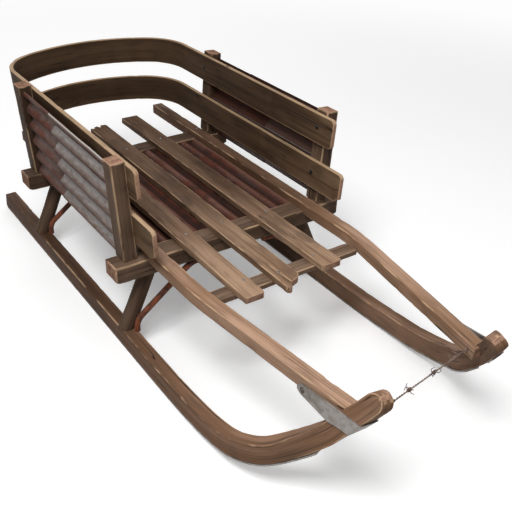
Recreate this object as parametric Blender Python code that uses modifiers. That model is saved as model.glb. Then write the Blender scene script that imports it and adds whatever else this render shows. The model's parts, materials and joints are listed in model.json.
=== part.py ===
"""Weathered timber hauling sled with scrap-metal side sheets.

Metres, +Z up. The front is towards -Y, the floor is z = 0 and x = 0 is the sled's centre plane.
Every piece is a closed body of its own. Side is -1 for the piece at -X and +1 for its twin at +X.
"""

import math

import bmesh
import bpy
from mathutils import Matrix, Vector

# Fit between pieces that touch, and the worn corners of long timbers
FIT = 0.0003
WORN_EDGE = 0.002

# Runners: centre line as (y, inward shift of the left and of the right runner, rise of the centre)
RUNNER_WIDTH = 0.040
RUNNER_HEIGHT = 0.055
RUNNER_TIP_HEIGHT = 0.048
RUNNER_OFFSET = 0.352
RUNNER_REAR_Y = 0.668
RUNNER_REAR_RAKE = 0.012
RUNNER_BEND = (
    (-0.500, 0.0000, 0.0000, 0.0000),
    (-0.626, 0.0000, 0.0000, 0.0022),
    (-0.718, 0.0000, 0.0000, 0.0077),
    (-0.811, 0.0028, 0.0028, 0.0160),
    (-0.901, 0.0095, 0.0095, 0.0365),
    (-0.981, 0.0345, 0.0345, 0.0737),
    (-1.042, 0.0800, 0.0780, 0.1243),
    (-1.101, 0.1150, 0.1070, 0.1881),
    (-1.134, 0.1375, 0.1270, 0.2367),
    (-1.161, 0.1570, 0.1480, 0.2777),
    (-1.183, 0.1695, 0.1680, 0.3147),
)
# Heights between which a runner's section turns from square to its line to square to the sled,
# and how much its outer edge is then the higher one
RUNNER_SQUARE_LOW_Z = 0.12
RUNNER_SQUARE_HIGH_Z = 0.29
RUNNER_TIP_TILT_SLOPE = 0.21
RUNNER_STEPS_PER_SPAN = 4
TIP_ROUND_STEPS = 6

# Steel shoe under each runner
SHOE_THICKNESS = 0.004
SHOE_WIDTH = 0.040
SHOE_FRONT_Y = -1.075

# Shafts: straight over the deck, then toeing in and dipping to the runners' tips
SHAFT_WIDTH = 0.040
SHAFT_HEIGHT = 0.035
SHAFT_OFFSET = 0.271
SHAFT_TOP_Z = 0.319
SHAFT_REAR_Y = 0.618
SHAFT_BEND_Y = -0.600
SHAFT_BEND_LENGTH = 0.120
SHAFT_END_Y = -1.140
SHAFT_TOE_IN_SLOPE = 0.140
SHAFT_DIP_SLOPE = 0.037

# Beams
BEAM_TOP_Z = 0.296
BEAM_HEIGHT = 0.052
BEAM_DEPTH = 0.068
BEAM_HALF_LENGTH = 0.393
BEAM_END_CHAMFER = 0.014
BEAM_EDGE = 0.003
POST_Y = 0.330
BEAM_BEHIND_POST = -0.011

# Deck slats: (name, x of the centre, width, rear end, front end)
SLAT_THICKNESS = 0.020
SLAT_CORNER = 0.005
SLATS = (
    ("slat_left", -0.154, 0.060, 0.530, -0.697),
    ("slat_centre", -0.030, 0.066, 0.530, -0.694),
    ("slat_right", 0.114, 0.066, 0.555, -0.682),
)
CROSSBAR_Y = -0.620
CROSSBAR_DEPTH = 0.048
CROSSBAR_HEIGHT = 0.016

# Corrugated floor sheet between the beams
FLOOR_PITCH = 0.050
FLOOR_WAVE = 0.006
SHEET_THICKNESS = 0.002
FLOOR_SEAT = 0.010

# Posts on the beams' ends
POST_WIDTH = 0.042
POST_DEPTH = 0.052
POST_FOOT_X = 0.337
POST_LEAN = math.tan(math.radians(3.6))
POST_TOP_Z = 0.597
POST_CHAMFER = 0.002

# Corrugated side sheets with level ridges, up the posts
SIDE_PITCH = 0.0545
SIDE_WAVE = 0.006
SIDE_HEIGHT = 0.282
SIDE_FOOT_GAP = 0.003
SIDE_INSET = 0.008
SIDE_SEAM_FOOT_Y = 0.011
SIDE_SEAM_TOP_Y = 0.088
SIDE_REAR_SHEET_FRONT_Y = -0.030

# Bow rails: bent bands inside the posts, round the rear
RAIL_HEIGHT = 0.092
RAIL_THICKNESS = 0.013
RAIL_CORNER_RADIUS = 0.165
RAIL_CORNER_Y = 0.484
RAIL_CORNER_TURN = math.radians(62.0)
RAIL_END_ROUND = 0.014
RAIL_UPPER_Z = 0.541
RAIL_UPPER_FRONT_Y = -0.403
RAIL_LOWER_Z = 0.392
RAIL_LOWER_FRONT_Y = -0.468

# Legs and braces
LEG_FOOT_RADIUS = 0.024
LEG_TOP_RADIUS = 0.0225
LEG_FOOT_X = 0.352
LEG_TOP_X = 0.270
BRACE_RADIUS = 0.009
BRACE_FOOT_X = 0.3335
BRACE_TOP_X = 0.150
BRACE_TAIL = 0.045
BRACE_BEND = 0.022
BRACE_KNEE = 0.036
BRACE_AHEAD_OF_LEG = 0.0336

# Strap from a shaft's outer side, round the runner's outer and front faces; at the runner its
# places are (across: 1 outside, along: 1 behind, lies on the outer face, lies on the front face)
STRAP_WIDTH = 0.032
STRAP_THICKNESS = 0.003
STRAP_REAR_Y = -0.987
STRAP_REAR_Z = 0.271
STRAP_RUNNER_Z = 0.279
STRAP_POINT = 0.012
STRAP_POINT_WIDTH = 0.012
STRAP_PLACES = ((1, 1, 1, 0), (1, 0, 1, 0), (1, -1, 1, 1), (-1, -1, 0, 1))

# Wire between the tips
WIRE_RADIUS = 0.0022
WIRE_PAST_RUNNER = 0.014
WIRE_BEFORE_RUNNER = 0.010
WIRE_SHAFT_Y = -1.119
WIRE_ABOVE_SHAFT = 0.006

COLLECTION = bpy.data.collections.new("sled")
CUTTERS = bpy.data.collections.new("cutters")


def clear_scene():
    """Remove whatever the scene holds and link the two collections."""
    for obj in list(bpy.data.objects):
        bpy.data.objects.remove(obj, do_unlink=True)
    bpy.context.scene.collection.children.link(COLLECTION)
    bpy.context.scene.collection.children.link(CUTTERS)


def make_material(name, colour, roughness, metallic):
    """Principled material of one colour."""
    material = bpy.data.materials.new(name)
    material.use_nodes = True
    shader = material.node_tree.nodes["Principled BSDF"]
    shader.inputs["Base Color"].default_value = (*colour, 1.0)
    shader.inputs["Roughness"].default_value = roughness
    shader.inputs["Metallic"].default_value = metallic
    material.diffuse_color = (*colour, 1.0)
    return material


MATERIALS = {
    "timber": make_material("timber", (0.25, 0.16, 0.10), 0.75, 0.0),
    "galvanised": make_material("galvanised", (0.35, 0.34, 0.33), 0.55, 0.8),
    "rusty_sheet": make_material("rusty_sheet", (0.18, 0.08, 0.05), 0.85, 0.3),
    "steel": make_material("steel", (0.30, 0.29, 0.28), 0.45, 0.9),
    "rusty_rod": make_material("rusty_rod", (0.15, 0.05, 0.02), 0.85, 0.3),
}


def add_object(name, mesh, material, collection=COLLECTION):
    """Object for a mesh, with its material, in a collection."""
    obj = bpy.data.objects.new(name, mesh)
    mesh.materials.clear()
    mesh.materials.append(MATERIALS[material])
    collection.objects.link(obj)
    return obj


def finish_bmesh(name, bm):
    """Mesh data from a bmesh whose normals are made consistent."""
    bmesh.ops.recalc_face_normals(bm, faces=bm.faces)
    mesh = bpy.data.meshes.new(name)
    bm.to_mesh(mesh)
    bm.free()
    return mesh


def add_box(name, low, high, material, collection=COLLECTION):
    """Box between two corners."""
    bm = bmesh.new()
    bmesh.ops.create_cube(bm, size=1.0)
    size = [high[i] - low[i] for i in range(3)]
    middle = [(high[i] + low[i]) / 2 for i in range(3)]
    bmesh.ops.transform(bm, matrix=Matrix.Translation(middle) @ Matrix.Diagonal((*size, 1.0)), verts=bm.verts)
    return add_object(name, finish_bmesh(name, bm), material, collection)


def add_loft(name, sections, material, collection=COLLECTION):
    """Closed body through sections that all have the same number of corners."""
    bm = bmesh.new()
    rings = [[bm.verts.new(point) for point in section] for section in sections]
    count = len(rings[0])
    for ring, following in zip(rings, rings[1:]):
        for i in range(count):
            j = (i + 1) % count
            bm.faces.new((ring[i], ring[j], following[j], following[i]))
    bmesh.ops.triangulate(bm, faces=bm.faces, quad_method="FIXED")
    bm.faces.new(rings[0])
    bm.faces.new(rings[-1])
    return add_object(name, finish_bmesh(name, bm), material, collection)


def add_outline(name, outline, depth, axis_matrix, material, collection=COLLECTION):
    """Flat outline given a depth: a 2D curve, filled and extruded, then made a mesh."""
    curve = bpy.data.curves.new(name, "CURVE")
    curve.dimensions = "2D"
    curve.fill_mode = "BOTH"
    curve.extrude = depth / 2
    spline = curve.splines.new("POLY")
    spline.points.add(len(outline) - 1)
    for point, (u, v) in zip(spline.points, outline):
        point.co = (u, v, 0.0, 1.0)
    spline.use_cyclic_u = True
    return curve_to_mesh(name, curve, axis_matrix, material, collection)


def curve_to_mesh(name, curve, matrix, material, collection=COLLECTION):
    """Evaluate a curve, weld its caps and place the mesh by a matrix."""
    guide = bpy.data.objects.new(name + "_guide", curve)
    COLLECTION.objects.link(guide)
    depsgraph = bpy.context.evaluated_depsgraph_get()
    mesh = bpy.data.meshes.new_from_object(guide.evaluated_get(depsgraph))
    bpy.data.objects.remove(guide, do_unlink=True)
    bpy.data.curves.remove(curve)
    bm = bmesh.new()
    bm.from_mesh(mesh)
    bpy.data.meshes.remove(mesh)
    bmesh.ops.remove_doubles(bm, verts=bm.verts, dist=0.00001)
    bmesh.ops.transform(bm, matrix=matrix, verts=bm.verts)
    return add_object(name, finish_bmesh(name, bm), material, collection)


def add_tube(name, points, radius, material, sides=4):
    """Round rod through points: a curve with a bevel depth and filled caps."""
    curve = bpy.data.curves.new(name, "CURVE")
    curve.dimensions = "3D"
    curve.bevel_depth = radius
    curve.bevel_resolution = sides
    curve.use_fill_caps = True
    spline = curve.splines.new("POLY")
    spline.points.add(len(points) - 1)
    for knot, point in zip(spline.points, points):
        knot.co = (*point, 1.0)
    return curve_to_mesh(name, curve, Matrix.Identity(4), material)


def add_bevel(obj, width, segments=1):
    """Rounded or chamfered edges."""
    bevel = obj.modifiers.new("edges", "BEVEL")
    bevel.width = width
    bevel.segments = segments
    bevel.limit_method = "ANGLE"
    return obj


def combine(obj, tool, operation):
    """Exact Boolean of an object with a tool from the cutters' collection."""
    tool.hide_render = True
    tool.display_type = "WIRE"
    boolean = obj.modifiers.new(operation.lower() + "_" + tool.name, "BOOLEAN")
    boolean.operation = operation
    boolean.solver = "EXACT"
    boolean.object = tool
    return obj


def smooth_path(knots, steps):
    """Points on a Catmull-Rom curve through the knots."""
    knots = [Vector(knot) for knot in knots]
    padded = [2 * knots[0] - knots[1], *knots, 2 * knots[-1] - knots[-2]]
    path = []
    for before, start, end, after in zip(padded, padded[1:], padded[2:], padded[3:]):
        for step in range(steps):
            t = step / steps
            path.append(
                0.5 * (2 * start + (end - before) * t
                       + (2 * before - 5 * start + 4 * end - after) * t ** 2
                       + (3 * start - before - 3 * end + after) * t ** 3)
            )
    path.append(knots[-1])
    return path


def bent_path(knots, bend):
    """Straight runs between knots, joined by bends that start this far from each knot."""
    knots = [Vector(knot) for knot in knots]
    path = [knots[0]]
    for before, knot, after in zip(knots, knots[1:], knots[2:]):
        start = knot + (before - knot).normalized() * bend
        end = knot + (after - knot).normalized() * bend
        for step in range(5):
            t = step / 4
            path.append(start * (1 - t) ** 2 + knot * 2 * t * (1 - t) + end * t ** 2)
    path.append(knots[-1])
    return path


def path_frames(path, turn=None):
    """For each point: the point, its direction, its level sideways and its upward direction.

    With turn, (low, high, direction), sideways becomes that direction from the low to the high z.
    """
    frames = []
    for i, point in enumerate(path):
        ahead = path[min(i + 1, len(path) - 1)]
        behind = path[max(i - 1, 0)]
        forward = (ahead - behind).normalized()
        sideways = forward.cross(Vector((0, 0, 1))).normalized()
        if turn:
            low, high, direction = turn
            share = min(1.0, max(0.0, (point.z - low) / (high - low)))
            sideways = sideways.lerp(direction, share).normalized()
        upward = sideways.cross(forward).normalized()
        frames.append((point, forward, sideways, upward))
    return frames


def bar_section(frame, width, height, lift=0.0, edge=0.0):
    """Corners of a bar's section across a path; edge is the width of its worn, flattened corners."""
    point, _, sideways, upward = frame
    centre = point + upward * lift
    half_w = width / 2
    half_h = height / 2
    if edge:
        corners = [
            (-half_w + edge, -half_h), (half_w - edge, -half_h), (half_w, -half_h + edge), (half_w, half_h - edge),
            (half_w - edge, half_h), (-half_w + edge, half_h), (-half_w, half_h - edge), (-half_w, -half_h + edge),
        ]
    else:
        corners = [(-half_w, -half_h), (half_w, -half_h), (half_w, half_h), (-half_w, half_h)]
    return [centre + sideways * across + upward * along for across, along in corners]


def runner_path(side):
    """Centre line of a runner, from its rear end to its tip."""
    floor_height = RUNNER_HEIGHT / 2 + SHOE_THICKNESS + FIT
    column = 1 if side < 0 else 2
    knots = [(side * (RUNNER_OFFSET - row[column]), row[0], floor_height + row[3]) for row in RUNNER_BEND]
    bend = smooth_path(knots, RUNNER_STEPS_PER_SPAN)
    return [Vector((side * RUNNER_OFFSET, RUNNER_REAR_Y, floor_height)), *bend]


def runner_frames(side):
    """Frames along a runner, from its rear end to its tip."""
    at_tip = Vector((-1, 0, -side * RUNNER_TIP_TILT_SLOPE)).normalized()
    return path_frames(runner_path(side), (RUNNER_SQUARE_LOW_Z, RUNNER_SQUARE_HIGH_Z, at_tip))


def runner_heights(frames):
    """Height of a runner's section at each frame, less towards the tip."""
    rise = [max(0.0, frame[0].z - RUNNER_HEIGHT) for frame in frames]
    return [RUNNER_HEIGHT + (RUNNER_TIP_HEIGHT - RUNNER_HEIGHT) * height / rise[-1] for height in rise]


def runner_sections(side, grow=0.0):
    """Sections of a runner: raked rear end, tapering front and round tip."""
    frames = runner_frames(side)
    sections = []
    for frame, height in zip(frames, runner_heights(frames)):
        sections.append(bar_section(frame, RUNNER_WIDTH + 2 * grow, height + 2 * grow, edge=WORN_EDGE))
    for corner in sections[0]:
        corner.y += RUNNER_REAR_RAKE * (0.5 - (corner.z - frames[0][0].z) / RUNNER_HEIGHT)
    point, forward, sideways, upward = frames[-1]
    radius = RUNNER_TIP_HEIGHT / 2 + grow
    for step in range(1, TIP_ROUND_STEPS):
        angle = math.pi / 2 * step / TIP_ROUND_STEPS
        tip = (point + forward * radius * math.sin(angle), forward, sideways, upward)
        round_height = max(2 * radius * math.cos(angle), 3 * WORN_EDGE)
        sections.append(bar_section(tip, RUNNER_WIDTH + 2 * grow, round_height, edge=WORN_EDGE))
    return sections


def build_runner(side, name):
    """Runner with its upswept, inward-turned front."""
    return add_loft(name, runner_sections(side), "timber")


def runner_blank(side, name, grow):
    """Thickened runner for cutting and forming."""
    return add_loft(name, runner_sections(side, grow), "timber", CUTTERS)


def build_shoe(side, name):
    """Steel strip under a runner, up to where its front lifts."""
    depth = SHOE_THICKNESS + 2 * FIT
    drop = -(RUNNER_HEIGHT / 2 + FIT + SHOE_THICKNESS - depth / 2)
    sections = []
    for frame in runner_frames(side):
        if frame[0].y < SHOE_FRONT_Y:
            break
        sections.append(bar_section(frame, SHOE_WIDTH, depth, drop))
    shoe = add_loft(name, sections, "steel")
    return combine(shoe, runner_blank(side, name + "_seat", FIT), "DIFFERENCE")


def shaft_point(side, y):
    """Point of a shaft's centre line at a place along the sled."""
    past = SHAFT_BEND_Y - y
    half = SHAFT_BEND_LENGTH / 2
    if past <= -half:
        run = 0.0
    elif past < half:
        run = (past + half) ** 2 / (2 * SHAFT_BEND_LENGTH)
    else:
        run = past
    x = side * (SHAFT_OFFSET - run * SHAFT_TOE_IN_SLOPE)
    z = SHAFT_TOP_Z - SHAFT_HEIGHT / 2 - run * SHAFT_DIP_SLOPE
    return Vector((x, y, z))


def shaft_path(side):
    """Centre line of a shaft from its rear end to the tip."""
    bend_start = SHAFT_BEND_Y + SHAFT_BEND_LENGTH / 2
    stations = [SHAFT_REAR_Y, bend_start]
    stations += [bend_start - SHAFT_BEND_LENGTH * step / 4 for step in range(1, 5)]
    stations.append(SHAFT_END_Y)
    return [shaft_point(side, y) for y in stations]


def shaft_sections(side, grow=0.0):
    """Sections of a shaft; grow thickens it for the pieces that fit round it."""
    width = SHAFT_WIDTH + 2 * grow
    height = SHAFT_HEIGHT + 2 * grow
    return [bar_section(frame, width, height, edge=WORN_EDGE) for frame in path_frames(shaft_path(side))]


def shaft_blank(side, name, grow):
    """Thickened shaft for cutting and forming."""
    return add_loft(name, shaft_sections(side, grow), "timber", CUTTERS)


def build_shaft(side, name):
    """Side rail that ends against the runner's rising front."""
    shaft = add_loft(name, shaft_sections(side), "timber")
    return combine(shaft, runner_blank(side, name + "_stop", FIT), "DIFFERENCE")


def build_beam(name, post_y, sheet_side):
    """Cross timber with chamfered lower ends, housed for the shafts and rebated for the floor sheet."""
    middle_y = post_y + BEAM_BEHIND_POST
    low_z = BEAM_TOP_Z - BEAM_HEIGHT
    half = BEAM_HALF_LENGTH
    outline = [
        (-half, BEAM_TOP_Z),
        (-half, low_z + BEAM_END_CHAMFER * 0.6),
        (-half + BEAM_END_CHAMFER * 0.35, low_z + BEAM_END_CHAMFER * 0.17),
        (-half + BEAM_END_CHAMFER, low_z),
    ]
    outline += [(-x, z) for x, z in reversed(outline)]
    upright = Matrix.Translation((0, middle_y, 0)) @ Matrix.Rotation(math.pi / 2, 4, "X")
    beam = add_outline(name, outline, BEAM_DEPTH, upright, "timber")
    add_bevel(beam, BEAM_EDGE)
    for side in (-1, 1):
        half_width = SHAFT_WIDTH / 2 + FIT
        seat = SHAFT_TOP_Z - SHAFT_HEIGHT - FIT
        low = (side * SHAFT_OFFSET - half_width, middle_y - BEAM_DEPTH, seat)
        high = (side * SHAFT_OFFSET + half_width, middle_y + BEAM_DEPTH, BEAM_TOP_Z + SHAFT_HEIGHT)
        housing = add_box("%s_housing_%d" % (name, side), low, high, "timber", CUTTERS)
        combine(beam, housing, "DIFFERENCE")
    edge = middle_y + sheet_side * BEAM_DEPTH / 2
    inner_x = SHAFT_OFFSET - SHAFT_WIDTH / 2
    near, far = sorted((edge - sheet_side * (FLOOR_SEAT + FIT), edge + sheet_side * BEAM_DEPTH))
    low_seat = BEAM_TOP_Z - FIT - SHEET_THICKNESS - 2 * FLOOR_WAVE - FIT
    high_seat = BEAM_TOP_Z + BEAM_HEIGHT
    rebate = add_box(name + "_rebate", (-inner_x, near, low_seat), (inner_x, far, high_seat), "timber", CUTTERS)
    return combine(beam, rebate, "DIFFERENCE")


def floor_sheet_limits():
    """Rear and front edges of the floor sheet, seated in the beams' rebates."""
    rear = POST_Y + BEAM_BEHIND_POST - BEAM_DEPTH / 2 + FLOOR_SEAT
    front = -POST_Y + BEAM_BEHIND_POST + BEAM_DEPTH / 2 - FLOOR_SEAT
    return front, rear


def wave_outline(start, end, pitch, wave, thickness, steps=8):
    """Outline of a corrugated sheet's section: along u, the wave in v, with a constant thickness in v."""
    count = round((end - start) / pitch * steps)
    upper = []
    lower = []
    for i in range(count + 1):
        u = start + (end - start) * i / count
        v = wave * math.cos(2 * math.pi * (u - start) / pitch)
        upper.append((u, v + thickness / 2))
        lower.append((u, v - thickness / 2))
    return upper + lower[::-1]


def build_floor_sheet():
    """Corrugated sheet under the slats, its waves running along the sled."""
    front, rear = floor_sheet_limits()
    half = SHAFT_OFFSET - SHAFT_WIDTH / 2 - FIT
    middle_z = BEAM_TOP_Z - FIT - SHEET_THICKNESS / 2 - FLOOR_WAVE
    outline = wave_outline(-half, half, FLOOR_PITCH, FLOOR_WAVE, SHEET_THICKNESS)
    upright = Matrix.Translation((0, (front + rear) / 2, middle_z)) @ Matrix.Rotation(math.pi / 2, 4, "X")
    return add_outline("floor_sheet", outline, rear - front, upright, "rusty_sheet")


def build_slat(name, x, width, rear, front):
    """Deck board with clipped corners; the centre board is split in front and ragged behind."""
    half = width / 2
    clip = SLAT_CORNER
    front_end = [(x - half, front + clip), (x - half + clip, front), (x + half - clip, front),
                 (x + half, front + clip)]
    rear_end = [(x + half, rear - clip / 2), (x + half - clip / 2, rear), (x - half + clip / 2, rear),
                (x - half, rear - clip / 2)]
    if name == "slat_centre":
        front_end = [
            (x - half, front - 0.014), (x - half + 0.006, front - 0.022), (x - half + 0.015, front - 0.020),
            (x - half + 0.019, front - 0.004), (x - half + 0.021, front + 0.050), (x - half + 0.024, front - 0.002),
            (x + half - 0.012, front + 0.008), (x + half, front + 0.022),
        ]
        rear_end = [
            (x + half, rear - 0.004), (x + half * 0.4, rear + 0.002), (x + half * 0.1, rear - 0.016),
            (x - half * 0.1, rear), (x - half * 0.5, rear - 0.006), (x - half * 0.6, rear - 0.020),
            (x - half, rear - 0.010),
        ]
    middle_z = BEAM_TOP_Z + FIT + SLAT_THICKNESS / 2
    return add_outline(name, front_end + rear_end, SLAT_THICKNESS, Matrix.Translation((0, 0, middle_z)), "timber")


def build_crossbar():
    """Thin batten under the slats' front ends, between the shafts."""
    past_bend = SHAFT_BEND_Y - CROSSBAR_Y + SHAFT_BEND_LENGTH / 2
    half = SHAFT_OFFSET - SHAFT_WIDTH / 2 - FIT - SHAFT_TOE_IN_SLOPE * past_bend
    low = (-half, CROSSBAR_Y - CROSSBAR_DEPTH / 2, BEAM_TOP_Z - CROSSBAR_HEIGHT)
    high = (half, CROSSBAR_Y + CROSSBAR_DEPTH / 2, BEAM_TOP_Z)
    return add_bevel(add_box("crossbar", low, high, "timber"), 0.0015)


def lean_x(z):
    """Outward shift of the leaning posts at a height."""
    return (z - BEAM_TOP_Z) * POST_LEAN


def build_post(side, post_y, name):
    """Square post that stands on a beam's end and leans outward."""
    bm = bmesh.new()
    bmesh.ops.create_cube(bm, size=1.0)
    foot = BEAM_TOP_Z + FIT
    size = (POST_WIDTH, POST_DEPTH, POST_TOP_Z - foot)
    bmesh.ops.scale(bm, vec=size, verts=bm.verts)
    bmesh.ops.translate(bm, vec=(side * POST_FOOT_X, post_y, (POST_TOP_Z + foot) / 2), verts=bm.verts)
    for vert in bm.verts:
        vert.co.x += side * lean_x(vert.co.z)
    return add_bevel(add_object(name, finish_bmesh(name, bm), "timber"), POST_CHAMFER)


def build_side_sheet(side, name, front_edge, rear_edge, step_out, material):
    """Corrugated sheet with level ridges, leaning with the posts; an edge is its y at the foot and the top."""
    outline = wave_outline(0.0, SIDE_HEIGHT, SIDE_PITCH, SIDE_WAVE, SHEET_THICKNESS)
    foot_z = BEAM_TOP_Z + SIDE_FOOT_GAP
    crest = POST_FOOT_X + POST_WIDTH / 2 - SIDE_INSET - SIDE_WAVE - SHEET_THICKNESS / 2
    middle_x = crest - (SHEET_THICKNESS + FIT) + step_out * (SHEET_THICKNESS + FIT)
    sections = []
    for foot_y, top_y in (rear_edge, front_edge):
        rake = (top_y - foot_y) / SIDE_HEIGHT
        sections.append([
            Vector((side * (middle_x + v + lean_x(foot_z + u)), foot_y + u * rake, foot_z + u))
            for u, v in outline
        ])
    return add_loft(name, sections, material)


def rail_plan(offset):
    """Plan of a bow rail's middle line from the front on +X round the rear to -X, as (point, outward)."""
    turn = RAIL_CORNER_TURN
    side_x = POST_FOOT_X - POST_WIDTH / 2 + offset
    corner_x = side_x - RAIL_CORNER_RADIUS
    back_radius = RAIL_CORNER_RADIUS + corner_x / math.cos(turn)
    back_y = RAIL_CORNER_Y - corner_x * math.tan(turn)
    plan = []
    for step in range(8):
        angle = turn * step / 7
        outward = Vector((math.cos(angle), math.sin(angle), 0))
        plan.append((Vector((corner_x, RAIL_CORNER_Y, 0)) + outward * RAIL_CORNER_RADIUS, outward))
    for step in range(1, 6):
        angle = turn + (math.pi / 2 - turn) * step / 5
        outward = Vector((math.cos(angle), math.sin(angle), 0))
        plan.append((Vector((0, back_y, 0)) + outward * back_radius, outward))
    mirrored = [(Vector((-p.x, p.y, 0)), Vector((-o.x, o.y, 0))) for p, o in reversed(plan[:-1])]
    return plan + mirrored


def build_rail(name, middle_z, front_y):
    """Bent band that lies against the posts' inner faces, with round-cornered front ends."""
    offset = lean_x(middle_z) - FIT - RAIL_THICKNESS / 2
    plan = rail_plan(offset)
    first, last = plan[0], plan[-1]
    trims = rail_end_trims()
    stations = [(Vector((first[0].x, front_y + back, 0)), first[1], trim) for back, trim in trims]
    stations += [(point, outward, 0.0) for point, outward in plan]
    stations += [(Vector((last[0].x, front_y + back, 0)), last[1], trim) for back, trim in reversed(trims)]
    tilt = math.atan(POST_LEAN)
    sections = []
    for point, outward, trim in stations:
        up = (Vector((0, 0, math.cos(tilt))) + outward * math.sin(tilt))
        out = (outward * math.cos(tilt) - Vector((0, 0, math.sin(tilt))))
        centre = point + Vector((0, 0, middle_z))
        half_t = out * RAIL_THICKNESS / 2
        half_h = up * (RAIL_HEIGHT / 2 - trim)
        sections.append([centre - half_t - half_h, centre + half_t - half_h, centre + half_t + half_h,
                         centre - half_t + half_h])
    return add_loft(name, sections, "timber")


def rail_end_trims():
    """How far the rail's height is trimmed near its front end, as (distance from the end, trim)."""
    trims = []
    for step in range(5):
        angle = math.pi / 2 * step / 4
        trims.append((RAIL_END_ROUND * (1 - math.cos(angle)), RAIL_END_ROUND * (1 - math.sin(angle))))
    return trims


def build_leg(side, post_y, name):
    """Round pole from a runner's top to a beam's underside, splayed outward at the foot."""
    foot_z = RUNNER_HEIGHT + SHOE_THICKNESS + 2 * FIT
    top_z = BEAM_TOP_Z - BEAM_HEIGHT - FIT
    foot = Vector((side * LEG_FOOT_X, post_y, foot_z))
    top = Vector((side * LEG_TOP_X, post_y, top_z))
    sections = []
    for end, radius in ((foot, LEG_FOOT_RADIUS), (top, LEG_TOP_RADIUS)):
        stretch = (top - foot).length / (top_z - foot_z)
        sections.append([
            end + Vector((radius * stretch * math.cos(a), radius * math.sin(a), 0))
            for a in (2 * math.pi * i / 16 for i in range(16))
        ])
    return add_loft(name, sections, "timber")


def build_brace(side, post_y, name):
    """Bent rod from a leg's foot, inward and up to the beam's underside."""
    foot_z = RUNNER_HEIGHT + SHOE_THICKNESS + 2 * FIT
    under_beam = BEAM_TOP_Z - BEAM_HEIGHT - FIT
    y = post_y - BRACE_AHEAD_OF_LEG
    knots = [
        (side * BRACE_FOOT_X, y, foot_z),
        (side * BRACE_FOOT_X, y, foot_z + BRACE_KNEE),
        (side * BRACE_TOP_X, y, under_beam - BRACE_RADIUS),
        (side * (BRACE_TOP_X - BRACE_TAIL), y, under_beam - BRACE_RADIUS),
    ]
    return add_tube(name, bent_path(knots, BRACE_BEND), BRACE_RADIUS, "rusty_rod", 2)


def runner_corner(side, z, place, lift):
    """Point at a height on a line along the runner's surface, at a place of the strap's table."""
    across, along, outside, in_front = place
    frames = runner_frames(side)
    line = []
    for (point, _, sideways, upward), height in zip(frames, runner_heights(frames)):
        out = -side * (across * RUNNER_WIDTH / 2 + outside * lift)
        line.append(point + sideways * out + upward * (along * height / 2 - in_front * lift))
    for start, end in zip(line, line[1:]):
        if start.z < z <= end.z:
            return start.lerp(end, (z - start.z) / (end.z - start.z))
    return line[-1]


def strap_section_on_shaft(side, y, width):
    """Section of the strap on the shaft's outer face, as inner low, outer low, outer high, inner high."""
    point = shaft_point(side, y)
    section = []
    outer = FIT + STRAP_THICKNESS
    for lift, rise in ((-FIT, -width / 2), (outer, -width / 2), (outer, width / 2), (-FIT, width / 2)):
        section.append(Vector((point.x + side * (SHAFT_WIDTH / 2 + lift), y, STRAP_REAR_Z + rise)))
    return section


def build_strap(side, name):
    """Steel strip from a shaft's outer side to the runner, along its outer face and folded round its front."""
    outer = FIT + STRAP_THICKNESS
    low = STRAP_RUNNER_Z - STRAP_WIDTH / 2
    high = STRAP_RUNNER_Z + STRAP_WIDTH / 2
    sections = [
        strap_section_on_shaft(side, STRAP_REAR_Y, STRAP_POINT_WIDTH),
        strap_section_on_shaft(side, STRAP_REAR_Y - STRAP_POINT, STRAP_WIDTH),
    ]
    for place in STRAP_PLACES:
        sections.append([
            runner_corner(side, low, place, -FIT), runner_corner(side, low, place, outer),
            runner_corner(side, high, place, outer), runner_corner(side, high, place, -FIT),
        ])
    strap = add_loft(name, sections, "steel")
    combine(strap, runner_blank(side, name + "_runner", FIT), "DIFFERENCE")
    return combine(strap, shaft_blank(side, name + "_shaft", FIT), "DIFFERENCE")


def build_wire():
    """Taut wire from the left tip's inner side to the right shaft's inner side."""
    point, forward, sideways, upward = runner_frames(-1)[-1]
    left = point + forward * WIRE_PAST_RUNNER - upward * WIRE_BEFORE_RUNNER
    left -= sideways * (RUNNER_WIDTH / 2 - WIRE_RADIUS)
    shaft = shaft_point(1, WIRE_SHAFT_Y)
    right = Vector((shaft.x - SHAFT_WIDTH / 2 + WIRE_RADIUS, shaft.y, shaft.z + WIRE_ABOVE_SHAFT))
    wire = add_tube("tip_wire", [left, right], WIRE_RADIUS, "rusty_rod", 2)
    combine(wire, runner_blank(-1, "tip_wire_left_end", FIT), "DIFFERENCE")
    return combine(wire, shaft_blank(1, "tip_wire_right_end", FIT), "DIFFERENCE")


def centre_lengthways():
    """Move pieces and cutters together so that y = 0 is halfway along the sled."""
    depsgraph = bpy.context.evaluated_depsgraph_get()
    along = []
    for obj in COLLECTION.objects:
        evaluated = obj.evaluated_get(depsgraph)
        along += [(obj.matrix_world @ vert.co).y for vert in evaluated.data.vertices]
    shift = -(min(along) + max(along)) / 2
    for obj in [*COLLECTION.objects, *CUTTERS.objects]:
        obj.location.y += shift


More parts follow.
